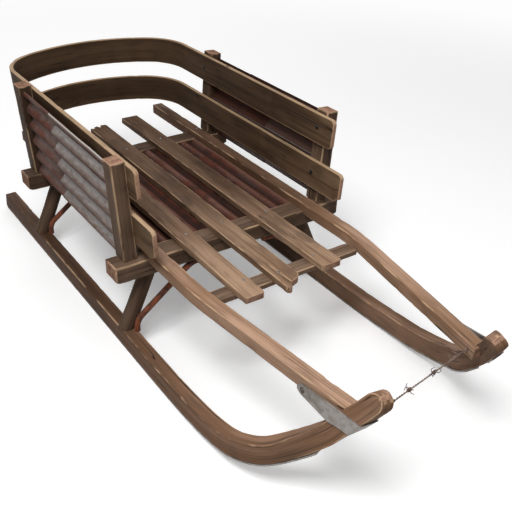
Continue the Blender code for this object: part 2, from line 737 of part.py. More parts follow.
def build_sled():
    """Make every piece of the sled."""
    clear_scene()
    for side, word in ((-1, "left"), (1, "right")):
        build_runner(side, "runner_" + word)
        build_shoe(side, "runner_shoe_" + word)
        build_shaft(side, "shaft_" + word)
        build_strap(side, "tip_strap_" + word)
        for post_y, place in ((-POST_Y, "front"), (POST_Y, "rear")):
            build_post(side, post_y, "post_%s_%s" % (place, word))
            build_leg(side, post_y, "leg_%s_%s" % (place, word))
            build_brace(side, post_y, "brace_%s_%s" % (place, word))
        gap = POST_Y - POST_DEPTH / 2 - FIT
        lap = SIDE_REAR_SHEET_FRONT_Y
        seam = (SIDE_SEAM_FOOT_Y, SIDE_SEAM_TOP_Y)
        build_side_sheet(side, "side_sheet_rear_" + word, (lap, lap), (gap, gap), 0, "rusty_sheet")
        build_side_sheet(side, "side_sheet_front_" + word, (-gap, -gap), seam, 1, "galvanised")
    build_beam("beam_front", -POST_Y, 1)
    build_beam("beam_rear", POST_Y, -1)
    build_crossbar()
    build_floor_sheet()
    for slat in SLATS:
        build_slat(*slat)
    build_rail("bow_rail_upper", RAIL_UPPER_Z, RAIL_UPPER_FRONT_Y)
    build_rail("bow_rail_lower", RAIL_LOWER_Z, RAIL_LOWER_FRONT_Y)
    build_wire()
    centre_lengthways()


build_sled()
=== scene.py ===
"""Weathered timber hauling sled with scrap-metal side sheets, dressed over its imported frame.

Metres, +Z up, the runners' raised tips towards -Y. Every timber is sawn square in its own straight
coordinates (x across, y along, z up), worn at its corners there, and then laid along its real line.
"""

from __future__ import annotations

import json
import logging
import math
from dataclasses import dataclass, field
from enum import Enum
from typing import Any, Callable, Sequence

import bmesh
import bpy
from mathutils import Matrix, Vector, noise
from mathutils.bvhtree import BVHTree

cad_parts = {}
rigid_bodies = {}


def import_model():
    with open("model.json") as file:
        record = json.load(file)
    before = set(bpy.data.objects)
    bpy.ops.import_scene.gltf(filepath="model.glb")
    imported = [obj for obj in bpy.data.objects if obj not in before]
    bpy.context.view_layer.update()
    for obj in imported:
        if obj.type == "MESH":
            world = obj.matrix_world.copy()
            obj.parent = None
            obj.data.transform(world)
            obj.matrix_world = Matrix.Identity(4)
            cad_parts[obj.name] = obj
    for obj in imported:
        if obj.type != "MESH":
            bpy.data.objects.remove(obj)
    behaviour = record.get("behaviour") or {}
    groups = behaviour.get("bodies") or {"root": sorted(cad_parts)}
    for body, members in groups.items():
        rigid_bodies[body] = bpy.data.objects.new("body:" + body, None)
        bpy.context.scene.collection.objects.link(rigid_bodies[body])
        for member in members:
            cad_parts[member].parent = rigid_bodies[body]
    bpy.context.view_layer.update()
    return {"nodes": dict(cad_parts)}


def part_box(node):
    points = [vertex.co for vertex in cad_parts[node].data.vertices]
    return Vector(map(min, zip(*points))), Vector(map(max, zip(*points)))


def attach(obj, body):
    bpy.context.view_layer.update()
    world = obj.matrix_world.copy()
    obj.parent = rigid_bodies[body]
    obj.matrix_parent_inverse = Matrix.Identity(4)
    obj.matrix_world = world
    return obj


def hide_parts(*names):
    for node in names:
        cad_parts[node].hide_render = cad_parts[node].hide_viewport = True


LOG = logging.getLogger("sled")

ROOT = "root"

# Gap between pieces that touch
FIT = 0.0003
RUNNER_WIDTH = 0.040
RUNNER_HEIGHT = 0.055
RUNNER_OFFSET = 0.352
SHOE_THICKNESS = 0.004
SHAFT_WIDTH = 0.040
SHAFT_HEIGHT = 0.035
SHAFT_OFFSET = 0.271
SHAFT_TOP_Z = 0.319
BEAM_TOP_Z = 0.296
BEAM_HEIGHT = 0.052
BEAM_DEPTH = 0.068
# Negative, because the beams' middles lie in front of the posts'
BEAM_BEHIND_POST = -0.011
SLAT_THICKNESS = 0.020
POST_Y = 0.330
POST_FOOT_X = 0.337
POST_WIDTH = 0.042
POST_DEPTH = 0.052
POST_TOP_Z = 0.597
POST_LEAN = math.tan(math.radians(3.6))
RAIL_THICKNESS = 0.013
# The wood is darkened with painted shade towards the rear from this place on, over this length
SHADE_FROM_Y = -0.42
SHADE_LENGTH = 0.62
# Metres of grain from one timber's seed to the next, so that no two look alike
GRAIN_STEP = 2.7
# Angles between two faces, in radians, from which their edge is a corner to wear or stays crisp
CORNER_ANGLE = 0.5
CRISP_ANGLE = 0.62


class Where(Enum):
    """A direction from the middle of the sled, as the sign of its axis."""

    @property
    def word(self) -> str:
        """Its word in the frame's node names."""
        return self.name.lower()


class Side(Where):
    """Side of the sled, along X."""

    LEFT = -1
    RIGHT = 1


class Place(Where):
    """Front or rear pair of posts, legs and beams, along Y."""

    FRONT = -1
    REAR = 1


def linear(colour: str) -> tuple[float, float, float, float]:
    """Turn an sRGB hex colour to linear RGBA.

    Args:
        colour: Six hex digits, such as "8a7a66".

    Returns:
        The colour in linear light, with an alpha of 1.
    """
    channels = []
    for start in (0, 2, 4):
        value = int(colour[start:start + 2], 16) / 255
        channels.append(value / 12.92 if value <= 0.04045 else ((value + 0.055) / 1.055) ** 2.4)
    return channels[0], channels[1], channels[2], 1.0


# Sockets of a Mix node of colours: the second colour's share, the two colours, and the result
SHARE, FIRST, SECOND, MIXED = 0, 6, 7, 2
TINTS = {"data_type": "RGBA"}
DARKEN = {"data_type": "RGBA", "blend_type": "MULTIPLY"}
SMOOTH = {"interpolation_type": "SMOOTHSTEP"}
# Spacing of the rings of a Wave texture whose scale is 1, in millimetres
WAVE_MM = 314.0


def add_node(
    tree: bpy.types.NodeTree, kind: str, inputs: dict[Any, Any], output: int | str = 0,
    **settings: Any,
) -> bpy.types.NodeSocket:
    """Add a shader node with its settings, values and links.

    Args:
        tree: The node tree that gets it.
        kind: The node's type, without "ShaderNode".
        inputs: Values or output sockets, by the input's name or number.
        output: Name or number of the wanted output.
        settings: Properties of the node by name.

    Returns:
        The wanted output's socket.
    """
    node = tree.nodes.new("ShaderNode" + kind)
    for name, value in settings.items():
        setattr(node, name, value)
    for name, value in inputs.items():
        socket = node.inputs[name]
        if isinstance(value, bpy.types.NodeSocket):
            tree.links.new(value, socket)
        else:
            socket.default_value = value
    return node.outputs[output]


def new_material(name: str) -> tuple[bpy.types.Material, bpy.types.NodeTree, bpy.types.Node]:
    """Start a node material.

    Args:
        name: The finish's name.

    Returns:
        The material, its tree and its Principled shader.
    """
    material = bpy.data.materials.new(name)
    material.use_nodes = True
    return material, material.node_tree, material.node_tree.nodes["Principled BSDF"]


def stretched_noise(
    tree: bpy.types.NodeTree, where: bpy.types.NodeSocket, cells: Sequence[float], detail: float,
    moved: Sequence[float] = (0.0, 0.0, 0.0),
) -> bpy.types.NodeSocket:
    """Draw noise that is longer one way than another, as grain and washes are.

    Args:
        tree: The node tree that gets it.
        where: Coordinates in metres.
        cells: Cells of the noise to the metre along each axis.
        detail: How many times finer noise is added.
        moved: How far the pattern is moved, in cells.

    Returns:
        The noise.
    """
    spread = add_node(tree, "Mapping", {"Vector": where, "Scale": cells, "Location": moved})
    return add_node(tree, "TexNoise", {"Vector": spread, "Scale": 1.0, "Detail": detail})


def laid_over(
    tree: bpy.types.NodeTree, below: Any, pattern: bpy.types.NodeSocket,
    reach: tuple[float, float, float], above: Any, **settings: Any,
) -> bpy.types.NodeSocket:
    """Lay a colour over another one where a pattern is strong.

    Args:
        tree: The node tree that gets it.
        below: The lower colour, or the socket that gives it.
        pattern: The pattern's level.
        reach: Levels at which the upper colour starts and is fully laid, and its share there.
        above: The upper colour, or the socket that gives it.
        settings: Properties of the Map Range node, such as a smooth step.

    Returns:
        The two colours as one.
    """
    start, full, most = reach
    levels = {"Value": pattern, "From Min": start, "From Max": full, "To Max": most}
    share = add_node(tree, "MapRange", levels, **settings)
    return add_node(tree, "Mix", {SHARE: share, FIRST: below, SECOND: above}, MIXED, **TINTS)


@dataclass(frozen=True)
class WeatheredSoftwood:
    """Sawn softwood left outdoors: brown with a tan bloom, straight grain, pale corners that are
    partly wear and partly a painted edge highlight, and painted shade towards the rear.
    """

    name: str = "weathered_softwood"
    pale: str = "b3907a"
    middle: str = "86684f"
    grey: str = "6c5646"
    deep: str = "3a2a20"
    # Pale of the corners: partly wear, partly a painted edge highlight
    worn_and_highlit: str = "dcb994"
    check: str = "140e0a"
    # The colour is multiplied by this where painted shade darkens the wood towards the rear
    shade_tint: str = "9b938d"
    # Growth lines 4 mm apart and 300 mm long, fibres 1.2 mm apart, as on a slow-grown board
    line_mm: float = 4.0
    fibre_mm: float = 1.2
    grime: float = 0.5
    # Noise level from which the corners turn pale, with wear and a painted edge highlight: low
    # means nearly everywhere
    pale_from: float = 0.36

    def make(self) -> bpy.types.Material:
        """Build the material from the timbers' grain, wear and damp attributes; damp holds the
        painted shade towards the rear.

        Returns:
            The material.
        """
        material, tree, shader = new_material(self.name)
        grain = add_node(tree, "Attribute", {}, "Vector", attribute_name="grain")
        rear_shade = add_node(tree, "Attribute", {}, "Fac", attribute_name="rear_shade")
        # Tan bloom against brown, in soft clouds 50 mm wide and 450 mm long
        cloud = stretched_noise(tree, grain, (20.0, 2.2, 20.0), 3.0)
        brown, tan = linear(self.middle), linear(self.pale)
        colour = laid_over(tree, brown, cloud, (0.36, 0.62, 1.0), tan, **SMOOTH)
        # Dirt and grey where water stood, in patches 33 mm wide and 140 mm long
        grey, deep = linear(self.grey), linear(self.deep)
        stain = stretched_noise(tree, grain, (30.0, 7.0, 30.0), 4.0, (3.0, 5.0, 7.0))
        colour = laid_over(tree, colour, stain, (0.50, 0.70, self.grime), grey, **SMOOTH)
        # Growth lines, and every third one or so dark and twice as long
        dense = 1000 / self.line_mm
        lines = stretched_noise(tree, grain, (dense, 3.2, dense), 2.0)
        colour = laid_over(tree, colour, lines, (0.46, 0.70, 0.34), deep)
        streak = stretched_noise(tree, grain, (dense / 3, 1.5, dense / 3), 1.0)
        colour = laid_over(tree, colour, streak, (0.60, 0.72, 0.42), deep, **SMOOTH)
        # Fibres, drawn coarser than real ones so that they show
        dense = 1000 / self.fibre_mm
        fibre = stretched_noise(tree, grain, (dense, 18.0, dense), 2.0)
        colour = laid_over(tree, colour, fibre, (0.55, 0.35, 0.28), grey)
        # Painted shade, darker towards the rear
        shade_tint = linear(self.shade_tint)
        colour = add_node(tree, "Mix", {SHARE: rear_shade, FIRST: colour, SECOND: shade_tint}, MIXED, **DARKEN)
        # Pale corners: partly wear, partly a painted edge highlight
        pale_corners = self.pale_edge_share(tree, grain, rear_shade)
        colour = add_node(
            tree, "Mix", {SHARE: pale_corners, FIRST: colour, SECOND: linear(self.worn_and_highlit)}, MIXED, **TINTS
        )
        checks = self.checked(tree, grain)
        colour = add_node(
            tree, "Mix", {SHARE: checks, FIRST: colour, SECOND: linear(self.check)}, MIXED, **TINTS
        )
        tree.links.new(colour, shader.inputs["Base Color"])

        rough = add_node(
            tree, "MapRange",
            {"Value": fibre, "From Min": 0.3, "From Max": 0.7, "To Min": 0.60, "To Max": 0.82},
        )
        tree.links.new(rough, shader.inputs["Roughness"])
        # Fibres stand up, growth lines sink a little and checks are deep
        relief = add_node(tree, "Math", {0: fibre, 1: 0.35}, operation="MULTIPLY")
        relief = add_node(tree, "Math", {0: lines, 1: -0.3, 2: relief}, operation="MULTIPLY_ADD")
        relief = add_node(tree, "Math", {0: checks, 1: -1.4, 2: relief}, operation="MULTIPLY_ADD")
        bump = add_node(tree, "Bump", {"Height": relief, "Strength": 0.6, "Distance": 0.0012})
        tree.links.new(bump, shader.inputs["Normal"])
        shader.inputs["IOR"].default_value = 1.45
        shader.inputs["Specular IOR Level"].default_value = 0.2
        return material

    def pale_edge_share(
        self, tree: bpy.types.NodeTree, grain: bpy.types.NodeSocket, rear_shade: bpy.types.NodeSocket
    ) -> bpy.types.NodeSocket:
        """Find where the corners turn pale, partly from wear and partly as a painted edge
        highlight: in stretches of 80 mm, and less in the painted rear shade.

        Args:
            tree: The material's tree.
            grain: Coordinates along the grain.
            rear_shade: How far the painted shade darkens the wood towards the rear.

        Returns:
            The share of the pale colour.
        """
        wear = add_node(tree, "Attribute", {}, "Fac", attribute_name="wear")
        pale_corners = stretched_noise(tree, grain, (60.0, 12.0, 60.0), 3.0)
        pale_corners = add_node(
            tree, "MapRange",
            {"Value": pale_corners, "From Min": self.pale_from, "From Max": 0.64, "To Max": 0.72},
            **SMOOTH,
        )
        pale_corners = add_node(tree, "Math", {0: pale_corners, 1: wear}, operation="MULTIPLY")
        # The pale corners dim where the painted rear shade falls
        shade_level = add_node(tree, "MapRange", {"Value": rear_shade, "To Min": 1.0, "To Max": 0.75})
        return add_node(tree, "Math", {0: pale_corners, 1: shade_level}, operation="MULTIPLY")

    def checked(
        self, tree: bpy.types.NodeTree, grain: bpy.types.NodeSocket
    ) -> bpy.types.NodeSocket:
        """Find the drying checks: thin dark lines 12 mm apart, in patches 330 mm long.

        Args:
            tree: The material's tree.
            grain: Coordinates along the grain.

        Returns:
            The share of the checks' colour.
        """
        split = stretched_noise(tree, grain, (80.0, 1.7, 80.0), 0.0, (9.0, 2.0, 4.0))
        split = add_node(tree, "Math", {0: split, 1: 0.5}, operation="SUBTRACT")
        split = add_node(tree, "Math", {0: split}, operation="ABSOLUTE")
        split = add_node(
            tree, "MapRange", {"Value": split, "From Min": 0.014, "From Max": 0.004}, **SMOOTH
        )
        patch = stretched_noise(tree, grain, (8.0, 3.0, 8.0), 1.0)
        patch = add_node(
            tree, "MapRange",
            {"Value": patch, "From Min": 0.49, "From Max": 0.57, "To Max": 0.85},
            **SMOOTH,
        )
        return add_node(tree, "Math", {0: split, 1: patch}, operation="MULTIPLY")


@dataclass(frozen=True)
class SawnEndGrain:
    """Sawn end of a weathered timber: dry tan, rough, with faint rings round an off-centre pith."""

    name: str = "sawn_end_grain"
    pale: str = "c9a087"
    middle: str = "a07a62"
    deep: str = "5a4233"
    # The colour is multiplied by this where painted shade darkens the wood towards the rear
    shade_tint: str = "c4bab2"
    # Rings 3.5 mm apart, near the real spacing
    ring_mm: float = 3.5

    def make(self) -> bpy.types.Material:
        """Build the material from the timbers' grain, wear and damp attributes; damp holds the
        painted shade towards the rear.

        Returns:
            The material.
        """
        material, tree, shader = new_material(self.name)
        grain = add_node(tree, "Attribute", {}, "Vector", attribute_name="grain")
        wear = add_node(tree, "Attribute", {}, "Fac", attribute_name="wear")
        rear_shade = add_node(tree, "Attribute", {}, "Fac", attribute_name="rear_shade")
        flat = add_node(tree, "Mapping", {"Vector": grain, "Scale": (1.0, 0.0, 1.0)})
        rings = add_node(
            tree, "TexWave",
            {
                "Vector": flat, "Scale": WAVE_MM / self.ring_mm, "Distortion": 1.2, "Detail": 2.0,
                "Detail Scale": 0.5,
            },
            "Fac", wave_type="RINGS", rings_direction="Y",
        )
        # Tones 17 mm across, and pores 1 mm apart, drawn coarser than real ones so that they show
        tone = add_node(tree, "TexNoise", {"Vector": grain, "Scale": 60.0, "Detail": 3.0})
        brown, tan, deep = linear(self.middle), linear(self.pale), linear(self.deep)
        colour = laid_over(tree, brown, tone, (0.35, 0.62, 1.0), tan, **SMOOTH)
        colour = laid_over(tree, colour, rings, (0.35, 1.0, 0.30), deep)
        pores = add_node(tree, "TexNoise", {"Vector": grain, "Scale": 900.0, "Detail": 2.0})
        colour = laid_over(tree, colour, pores, (0.6, 0.4, 0.25), deep)
        # Painted shade, darker towards the rear
        shade_tint = linear(self.shade_tint)
        colour = add_node(tree, "Mix", {SHARE: rear_shade, FIRST: colour, SECOND: shade_tint}, MIXED, **DARKEN)
        # Pale corners: partly wear, partly a painted edge highlight
        share = add_node(tree, "Math", {0: wear, 1: 0.4}, operation="MULTIPLY")
        colour = add_node(tree, "Mix", {SHARE: share, FIRST: colour, SECOND: tan}, MIXED, **TINTS)
        tree.links.new(colour, shader.inputs["Base Color"])
        shader.inputs["Roughness"].default_value = 0.85
        bump = add_node(tree, "Bump", {"Height": rings, "Strength": 0.4, "Distance": 0.0006})
        tree.links.new(bump, shader.inputs["Normal"])
        shader.inputs["IOR"].default_value = 1.45
        shader.inputs["Specular IOR Level"].default_value = 0.2
        return material


@dataclass(frozen=True)
class CorrugatedSteel:
    """Old roofing sheet: dull zinc where it lasted, rust under each ridge, in runs and in spots,
    with painted shade low on each ridge and in the troughs and a painted highlight on the upper
    edge.
    """

    name: str = "corrugated_steel"
    metal: str = "a5a09d"
    # Brown low on each ridge: partly stain, partly painted shade of the ridge's lower face
    stained_and_shaded: str = "6a574d"
    rust: str = "7b4732"
    # Dark rust, also laid in the troughs as painted shadow
    dark_rust_and_shade: str = "42251b"
    # Colour of the sheared upper edge, painted pale as its highlight
    sheared_and_highlit: str = "c9c1bb"
    # How far the sheet has rusted through its zinc, from 0 to 1
    rusted: float = 0.2
    # Spots of rust about 9 mm apart
    spot_mm: float = 9.0

    def make(self) -> bpy.types.Material:
        """Build the material from Object coordinates and the sheets' "fall" and "lip" attributes.

        Returns:
            The material.
        """
        material, tree, shader = new_material(self.name)
        where = add_node(tree, "TexCoord", {}, "Object")
        fall = add_node(tree, "Attribute", {}, "Fac", attribute_name="fall")
        lip = add_node(tree, "Attribute", {}, "Fac", attribute_name="lip")
        # Zinc, browner towards the foot of each ridge, partly stain and partly painted shade, with
        # soft washes 11 to 29 mm across
        wash = stretched_noise(tree, where, (60.0, 34.0, 90.0), 4.0)
        low = add_node(tree, "Math", {0: wash, 1: 0.5, 2: fall}, operation="MULTIPLY_ADD")
        zinc, stained_and_shaded = linear(self.metal), linear(self.stained_and_shaded)
        colour = laid_over(tree, zinc, low, (0.27, 0.74, 1.0), stained_and_shaded, **SMOOTH)
        # Rust: clouds of 60 to 140 mm, stronger low on each ridge, and spots
        cloud = stretched_noise(tree, where, (8.0, 7.0, 16.0), 4.0)
        cloud = add_node(tree, "Math", {0: fall, 1: 0.30, 2: cloud}, operation="MULTIPLY_ADD")
        first = 0.84 - 0.42 * self.rusted
        cloud = add_node(
            tree, "MapRange",
            {"Value": cloud, "From Min": first, "From Max": first + 0.22, "To Max": 0.9},
            **SMOOTH,
        )
        spots = add_node(
            tree, "TexNoise", {"Vector": where, "Scale": 1000 / self.spot_mm, "Detail": 3.0}
        )
        first = 0.635 - 0.03 * self.rusted
        spots = add_node(
            tree, "MapRange",
            {"Value": spots, "From Min": first, "From Max": first + 0.06, "To Max": 0.8},
            **SMOOTH,
        )
        rusty = add_node(tree, "Math", {0: cloud, 1: spots}, operation="MAXIMUM")
        # Rust scale 2.4 mm across, and darker rust in patches of 45 mm
        fine = add_node(tree, "TexNoise", {"Vector": where, "Scale": 420.0, "Detail": 3.0})
        tint = add_node(tree, "TexNoise", {"Vector": where, "Scale": 22.0, "Detail": 6.0})
        deep = linear(self.dark_rust_and_shade)
        rust = laid_over(tree, linear(self.rust), tint, (0.32, 0.74, 1.0), deep, **SMOOTH)
        colour = add_node(tree, "Mix", {SHARE: rusty, FIRST: colour, SECOND: rust}, MIXED, **TINTS)
        # Painted shadow in the troughs, and the sheared edge painted bright as its highlight
        colour = laid_over(tree, colour, fall, (0.34, 0.58, 0.78), deep, **SMOOTH)
        sheared_and_highlit = linear(self.sheared_and_highlit)
        colour = add_node(tree, "Mix", {SHARE: lip, FIRST: colour, SECOND: sheared_and_highlit}, MIXED, **TINTS)
        tree.links.new(colour, shader.inputs["Base Color"])
        bare = add_node(tree, "MapRange", {"Value": rusty, "To Min": 0.25, "To Max": 0.02})
        tree.links.new(bare, shader.inputs["Metallic"])
        shader.inputs["Specular IOR Level"].default_value = 0.25
        rough = add_node(tree, "MapRange", {"Value": rusty, "To Min": 0.58, "To Max": 0.85})
        tree.links.new(rough, shader.inputs["Roughness"])
        relief = add_node(tree, "Math", {0: rusty, 1: 0.6, 2: fine}, operation="MULTIPLY_ADD")
        bump = add_node(tree, "Bump", {"Height": relief, "Strength": 0.4, "Distance": 0.0006})
        tree.links.new(bump, shader.inputs["Normal"])
        return material


@dataclass(frozen=True)
class StripSteel:
    """Flat steel strip, mill grey rubbed in 18 mm patches, rust in 42 mm ones and 3 mm pits."""

    name: str = "strip_steel"
    metal: str = "98938f"
    dull: str = "847d77"
    rust: str = "6b5044"
    rusted: float = 0.15

    def make(self) -> bpy.types.Material:
        """Build the material from Object coordinates.

        Returns:
            The material.
        """
        material, tree, shader = new_material(self.name)
        where = add_node(tree, "TexCoord", {}, "Object")
        pale_edge_share = add_node(tree, "TexNoise", {"Vector": where, "Scale": 55.0, "Detail": 5.0})
        bright, dull = linear(self.metal), linear(self.dull)
        colour = laid_over(tree, bright, pale_edge_share, (0.38, 0.62, 1.0), dull, **SMOOTH)
        cloud = add_node(tree, "TexNoise", {"Vector": where, "Scale": 24.0, "Detail": 6.0})
        first = 0.70 - 0.30 * self.rusted
        rusty = add_node(
            tree, "MapRange",
            {"Value": cloud, "From Min": first, "From Max": first + 0.12, "To Max": 0.85},
            **SMOOTH,
        )
        rust = linear(self.rust)
        colour = add_node(tree, "Mix", {SHARE: rusty, FIRST: colour, SECOND: rust}, MIXED, **TINTS)
        tree.links.new(colour, shader.inputs["Base Color"])
        bare = add_node(tree, "MapRange", {"Value": rusty, "To Min": 0.70, "To Max": 0.05})
        tree.links.new(bare, shader.inputs["Metallic"])
        rough = add_node(tree, "MapRange", {"Value": rusty, "To Min": 0.46, "To Max": 0.80})
        tree.links.new(rough, shader.inputs["Roughness"])
        pits = add_node(tree, "TexNoise", {"Vector": where, "Scale": 320.0, "Detail": 3.0})
        bump = add_node(tree, "Bump", {"Height": pits, "Strength": 0.3, "Distance": 0.0005})
        tree.links.new(bump, shader.inputs["Normal"])
        return material


@dataclass(frozen=True)
class RustedRod:
    """Iron rusted all over: matt, orange scale in 22 mm patches over dark iron, 2 mm grit."""

    name: str = "rusted_rod"
    scale: str = "7d4227"
    dark: str = "43241a"
    bright: str = "a0644a"

    def make(self) -> bpy.types.Material:
        """Build the material from Object coordinates.

        Returns:
            The material.
        """
        material, tree, shader = new_material(self.name)
        where = add_node(tree, "TexCoord", {}, "Object")
        cloud = add_node(tree, "TexNoise", {"Vector": where, "Scale": 45.0, "Detail": 4.0})
        dark, scale = linear(self.dark), linear(self.scale)
        colour = laid_over(tree, dark, cloud, (0.40, 0.60, 1.0), scale, **SMOOTH)
        grit = add_node(tree, "TexNoise", {"Vector": where, "Scale": 600.0, "Detail": 3.0})
        colour = laid_over(tree, colour, grit, (0.55, 0.72, 0.6), linear(self.bright))
        tree.links.new(colour, shader.inputs["Base Color"])
        shader.inputs["Metallic"].default_value = 0.25
        shader.inputs["Roughness"].default_value = 0.78
        bump = add_node(tree, "Bump", {"Height": grit, "Strength": 0.6, "Distance": 0.0006})
        tree.links.new(bump, shader.inputs["Normal"])
        return material


@dataclass(frozen=True)
class NailSteel:
    """Nail, bolt and rivet heads: grey steel with dark scale in hollows 3 mm across."""

    name: str = "nail_steel"
    metal: str = "8b8f92"
    dark: str = "3a3634"

    def make(self) -> bpy.types.Material:
        """Build the material from Object coordinates.

        Returns:
            The material.
        """
        material, tree, shader = new_material(self.name)
        where = add_node(tree, "TexCoord", {}, "Object")
        grit = add_node(tree, "TexNoise", {"Vector": where, "Scale": 350.0, "Detail": 3.0})
        dark, bare = linear(self.dark), linear(self.metal)
        colour = laid_over(tree, dark, grit, (0.40, 0.58, 1.0), bare, **SMOOTH)
        tree.links.new(colour, shader.inputs["Base Color"])
        shader.inputs["Metallic"].default_value = 0.7
        shader.inputs["Roughness"].default_value = 0.45
        bump = add_node(tree, "Bump", {"Height": grit, "Strength": 0.4, "Distance": 0.0004})
        tree.links.new(bump, shader.inputs["Normal"])
        return material


@dataclass
class Finishes:
    """Every finish of the sled, each made once."""

    runner: bpy.types.Material = field(default_factory=WeatheredSoftwood(
        "runner_softwood", "ab866d", "85634b", grime=0.6, pale_from=0.47
    ).make)
    shaft: bpy.types.Material = field(default_factory=WeatheredSoftwood(
        "shaft_softwood", "c19c82", "9a765b", grime=0.4, pale_from=0.44
    ).make)
    # A darker copy of the softwood for the posts, beams, crossbar and legs, painting the shade on
    # their faces
    frame: bpy.types.Material = field(default_factory=WeatheredSoftwood(
        "shaded_frame_softwood", "8e7460", "6a5342", "544335", grime=0.6
    ).make)
    deck: bpy.types.Material = field(default_factory=WeatheredSoftwood(
        "deck_softwood", "b8977b", "8e6f56", grime=0.7
    ).make)
    rail: bpy.types.Material = field(default_factory=WeatheredSoftwood(
        "rail_softwood", "8f745a", "6e5640", "544332", grime=0.6, pale_from=-0.10
    ).make)
    end_grain: bpy.types.Material = field(default_factory=SawnEndGrain().make)
    zinc: bpy.types.Material = field(default_factory=CorrugatedSteel(
        "zinc_coated_sheet", rusted=0.12
    ).make)
    rusty_sheet: bpy.types.Material = field(default_factory=CorrugatedSteel(
        "rusted_sheet", "75625c", "583e33", "683727", "351a12", "6a4a40", rusted=0.75
    ).make)
    floor_sheet: bpy.types.Material = field(default_factory=CorrugatedSteel(
        "rusted_floor_sheet", "5a382b", "3e241b", "562817", "240f08", "6a4a3c", rusted=0.9
    ).make)
    strip: bpy.types.Material = field(default_factory=StripSteel().make)
    rod: bpy.types.Material = field(default_factory=RustedRod().make)
    wire: bpy.types.Material = field(default_factory=RustedRod(
        "rusted_wire", "8a7468", "5a463e", "bdb0a8"
    ).make)
    nail: bpy.types.Material = field(default_factory=NailSteel().make)
    rivet: bpy.types.Material = field(default_factory=NailSteel(
        "rivet_steel", "6c625d", "3a2a24"
    ).make)
    bolt: bpy.types.Material = field(default_factory=NailSteel(
        "bolt_steel", "37312e", "14100e"
    ).make)


def finished_object(
    bm: bmesh.types.BMesh, name: str, materials: Sequence[bpy.types.Material]
) -> bpy.types.Object:
    """Turn a bmesh to an object at the origin.

    Args:
        bm: The shape, in place; it is freed.
        name: The piece's name.
        materials: Its materials in slot order.

    Returns:
        The linked object.
    """
    mesh = bpy.data.meshes.new(name)
    bm.to_mesh(mesh)
    bm.free()
    for material in materials:
        mesh.materials.append(material)
    piece = bpy.data.objects.new(name, mesh)
    bpy.context.scene.collection.objects.link(piece)
    return piece


def mount(piece: bpy.types.Object, slot: str, *nodes: str) -> None:
    """Hang a piece on the sled's one body, and hide the frame's nodes that it stands for.

    Args:
        piece: The piece.
        slot: The record's material slot; not used.
        nodes: The frame's nodes that it replaces, if any.
    """
    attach(piece, ROOT)
    if nodes:
        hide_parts(*nodes)
    LOG.info("%s: %d faces", piece.name, len(piece.data.polygons))


def rear_shading(place: Vector) -> float:
    """How far painted shade darkens the wood at a place: 0 at the front, 1 at the rear.

    Args:
        place: The place in the sled's frame.

    Returns:
        The share of painted shade.
    """
    share = min(1.0, max(0.0, (place.y - SHADE_FROM_Y) / SHADE_LENGTH))
    return share * share * (3 - 2 * share)


def smooth_where_blunt(bm: bmesh.types.BMesh, angle: float = CRISP_ANGLE) -> None:
    """Shade faces smooth, with sharp edges kept crisp.

    Args:
        bm: The shape.
        angle: Angle in radians between two faces from which their edge counts as sharp.
    """
    for face in bm.faces:
        face.smooth = True
    for edge in bm.edges:
        edge.smooth = not edge.is_manifold or edge.calc_face_angle(0.0) < angle


@dataclass
class Route:
    """Line that a timber is laid along, with its level sideways and upward directions."""

    points: list[Vector]
    roll: float = 0.0
    # Two heights, and the direction that the sideways one turns to from the first to the second
    turn: tuple[float, float, Vector] | None = None
    lengths: list[float] = field(init=False)
    frames: list[tuple[Vector, Vector]] = field(init=False)

    def __post_init__(self) -> None:
        """Measure the line and find its directions at each point."""
        self.lengths = [0.0]
        for start, end in zip(self.points, self.points[1:]):
            self.lengths.append(self.lengths[-1] + (end - start).length)
        self.frames = []
        for i in range(len(self.points)):
            ahead = self.points[min(i + 1, len(self.points) - 1)]
            behind = self.points[max(i - 1, 0)]
            forward = (ahead - behind).normalized()
            guide = Vector((0, 0, 1)) if abs(forward.z) < 0.9 else Vector((0, 1, 0))
            sideways = forward.cross(guide).normalized()
            if self.turn:
                low, high, direction = self.turn
                share = min(1.0, max(0.0, (self.points[i].z - low) / (high - low)))
                sideways = sideways.lerp(direction, share).normalized()
            upward = sideways.cross(forward).normalized()
            level, tilt = math.cos(self.roll), math.sin(self.roll)
            self.frames.append((sideways * level - upward * tilt, upward * level + sideways * tilt))

    @property
    def length(self) -> float:
        """The line's whole length."""
        return self.lengths[-1]

    def place(self, local: Vector) -> Vector:
        """Carry a point from straight coordinates to the line.

        Args:
            local: x across, y along, z up.

        Returns:
            The point in the sled's frame.
        """
        last = len(self.points) - 2
        i = 0
        while i < last and self.lengths[i + 1] < local.y:
            i += 1
        span = self.lengths[i + 1] - self.lengths[i]
        share = (local.y - self.lengths[i]) / span
        point = self.points[i].lerp(self.points[i + 1], share)
        held = min(1.0, max(0.0, share))
        sideways = self.frames[i][0].lerp(self.frames[i + 1][0], held).normalized()
        upward = self.frames[i][1].lerp(self.frames[i + 1][1], held).normalized()
        return point + sideways * local.x + upward * local.z


def grainwise_noise(where: Vector, across: float, along: float) -> float:
    """Noise with its own number of cells to the metre across and along the grain.

    Args:
        where: The place, with the grain along y.
        across: Cells to the metre across the grain.
        along: Cells to the metre along it.

    Returns:
        The noise, from about -1 to 1.
    """
    return noise.noise(Vector((where.x * across, where.y * along, where.z * across)))


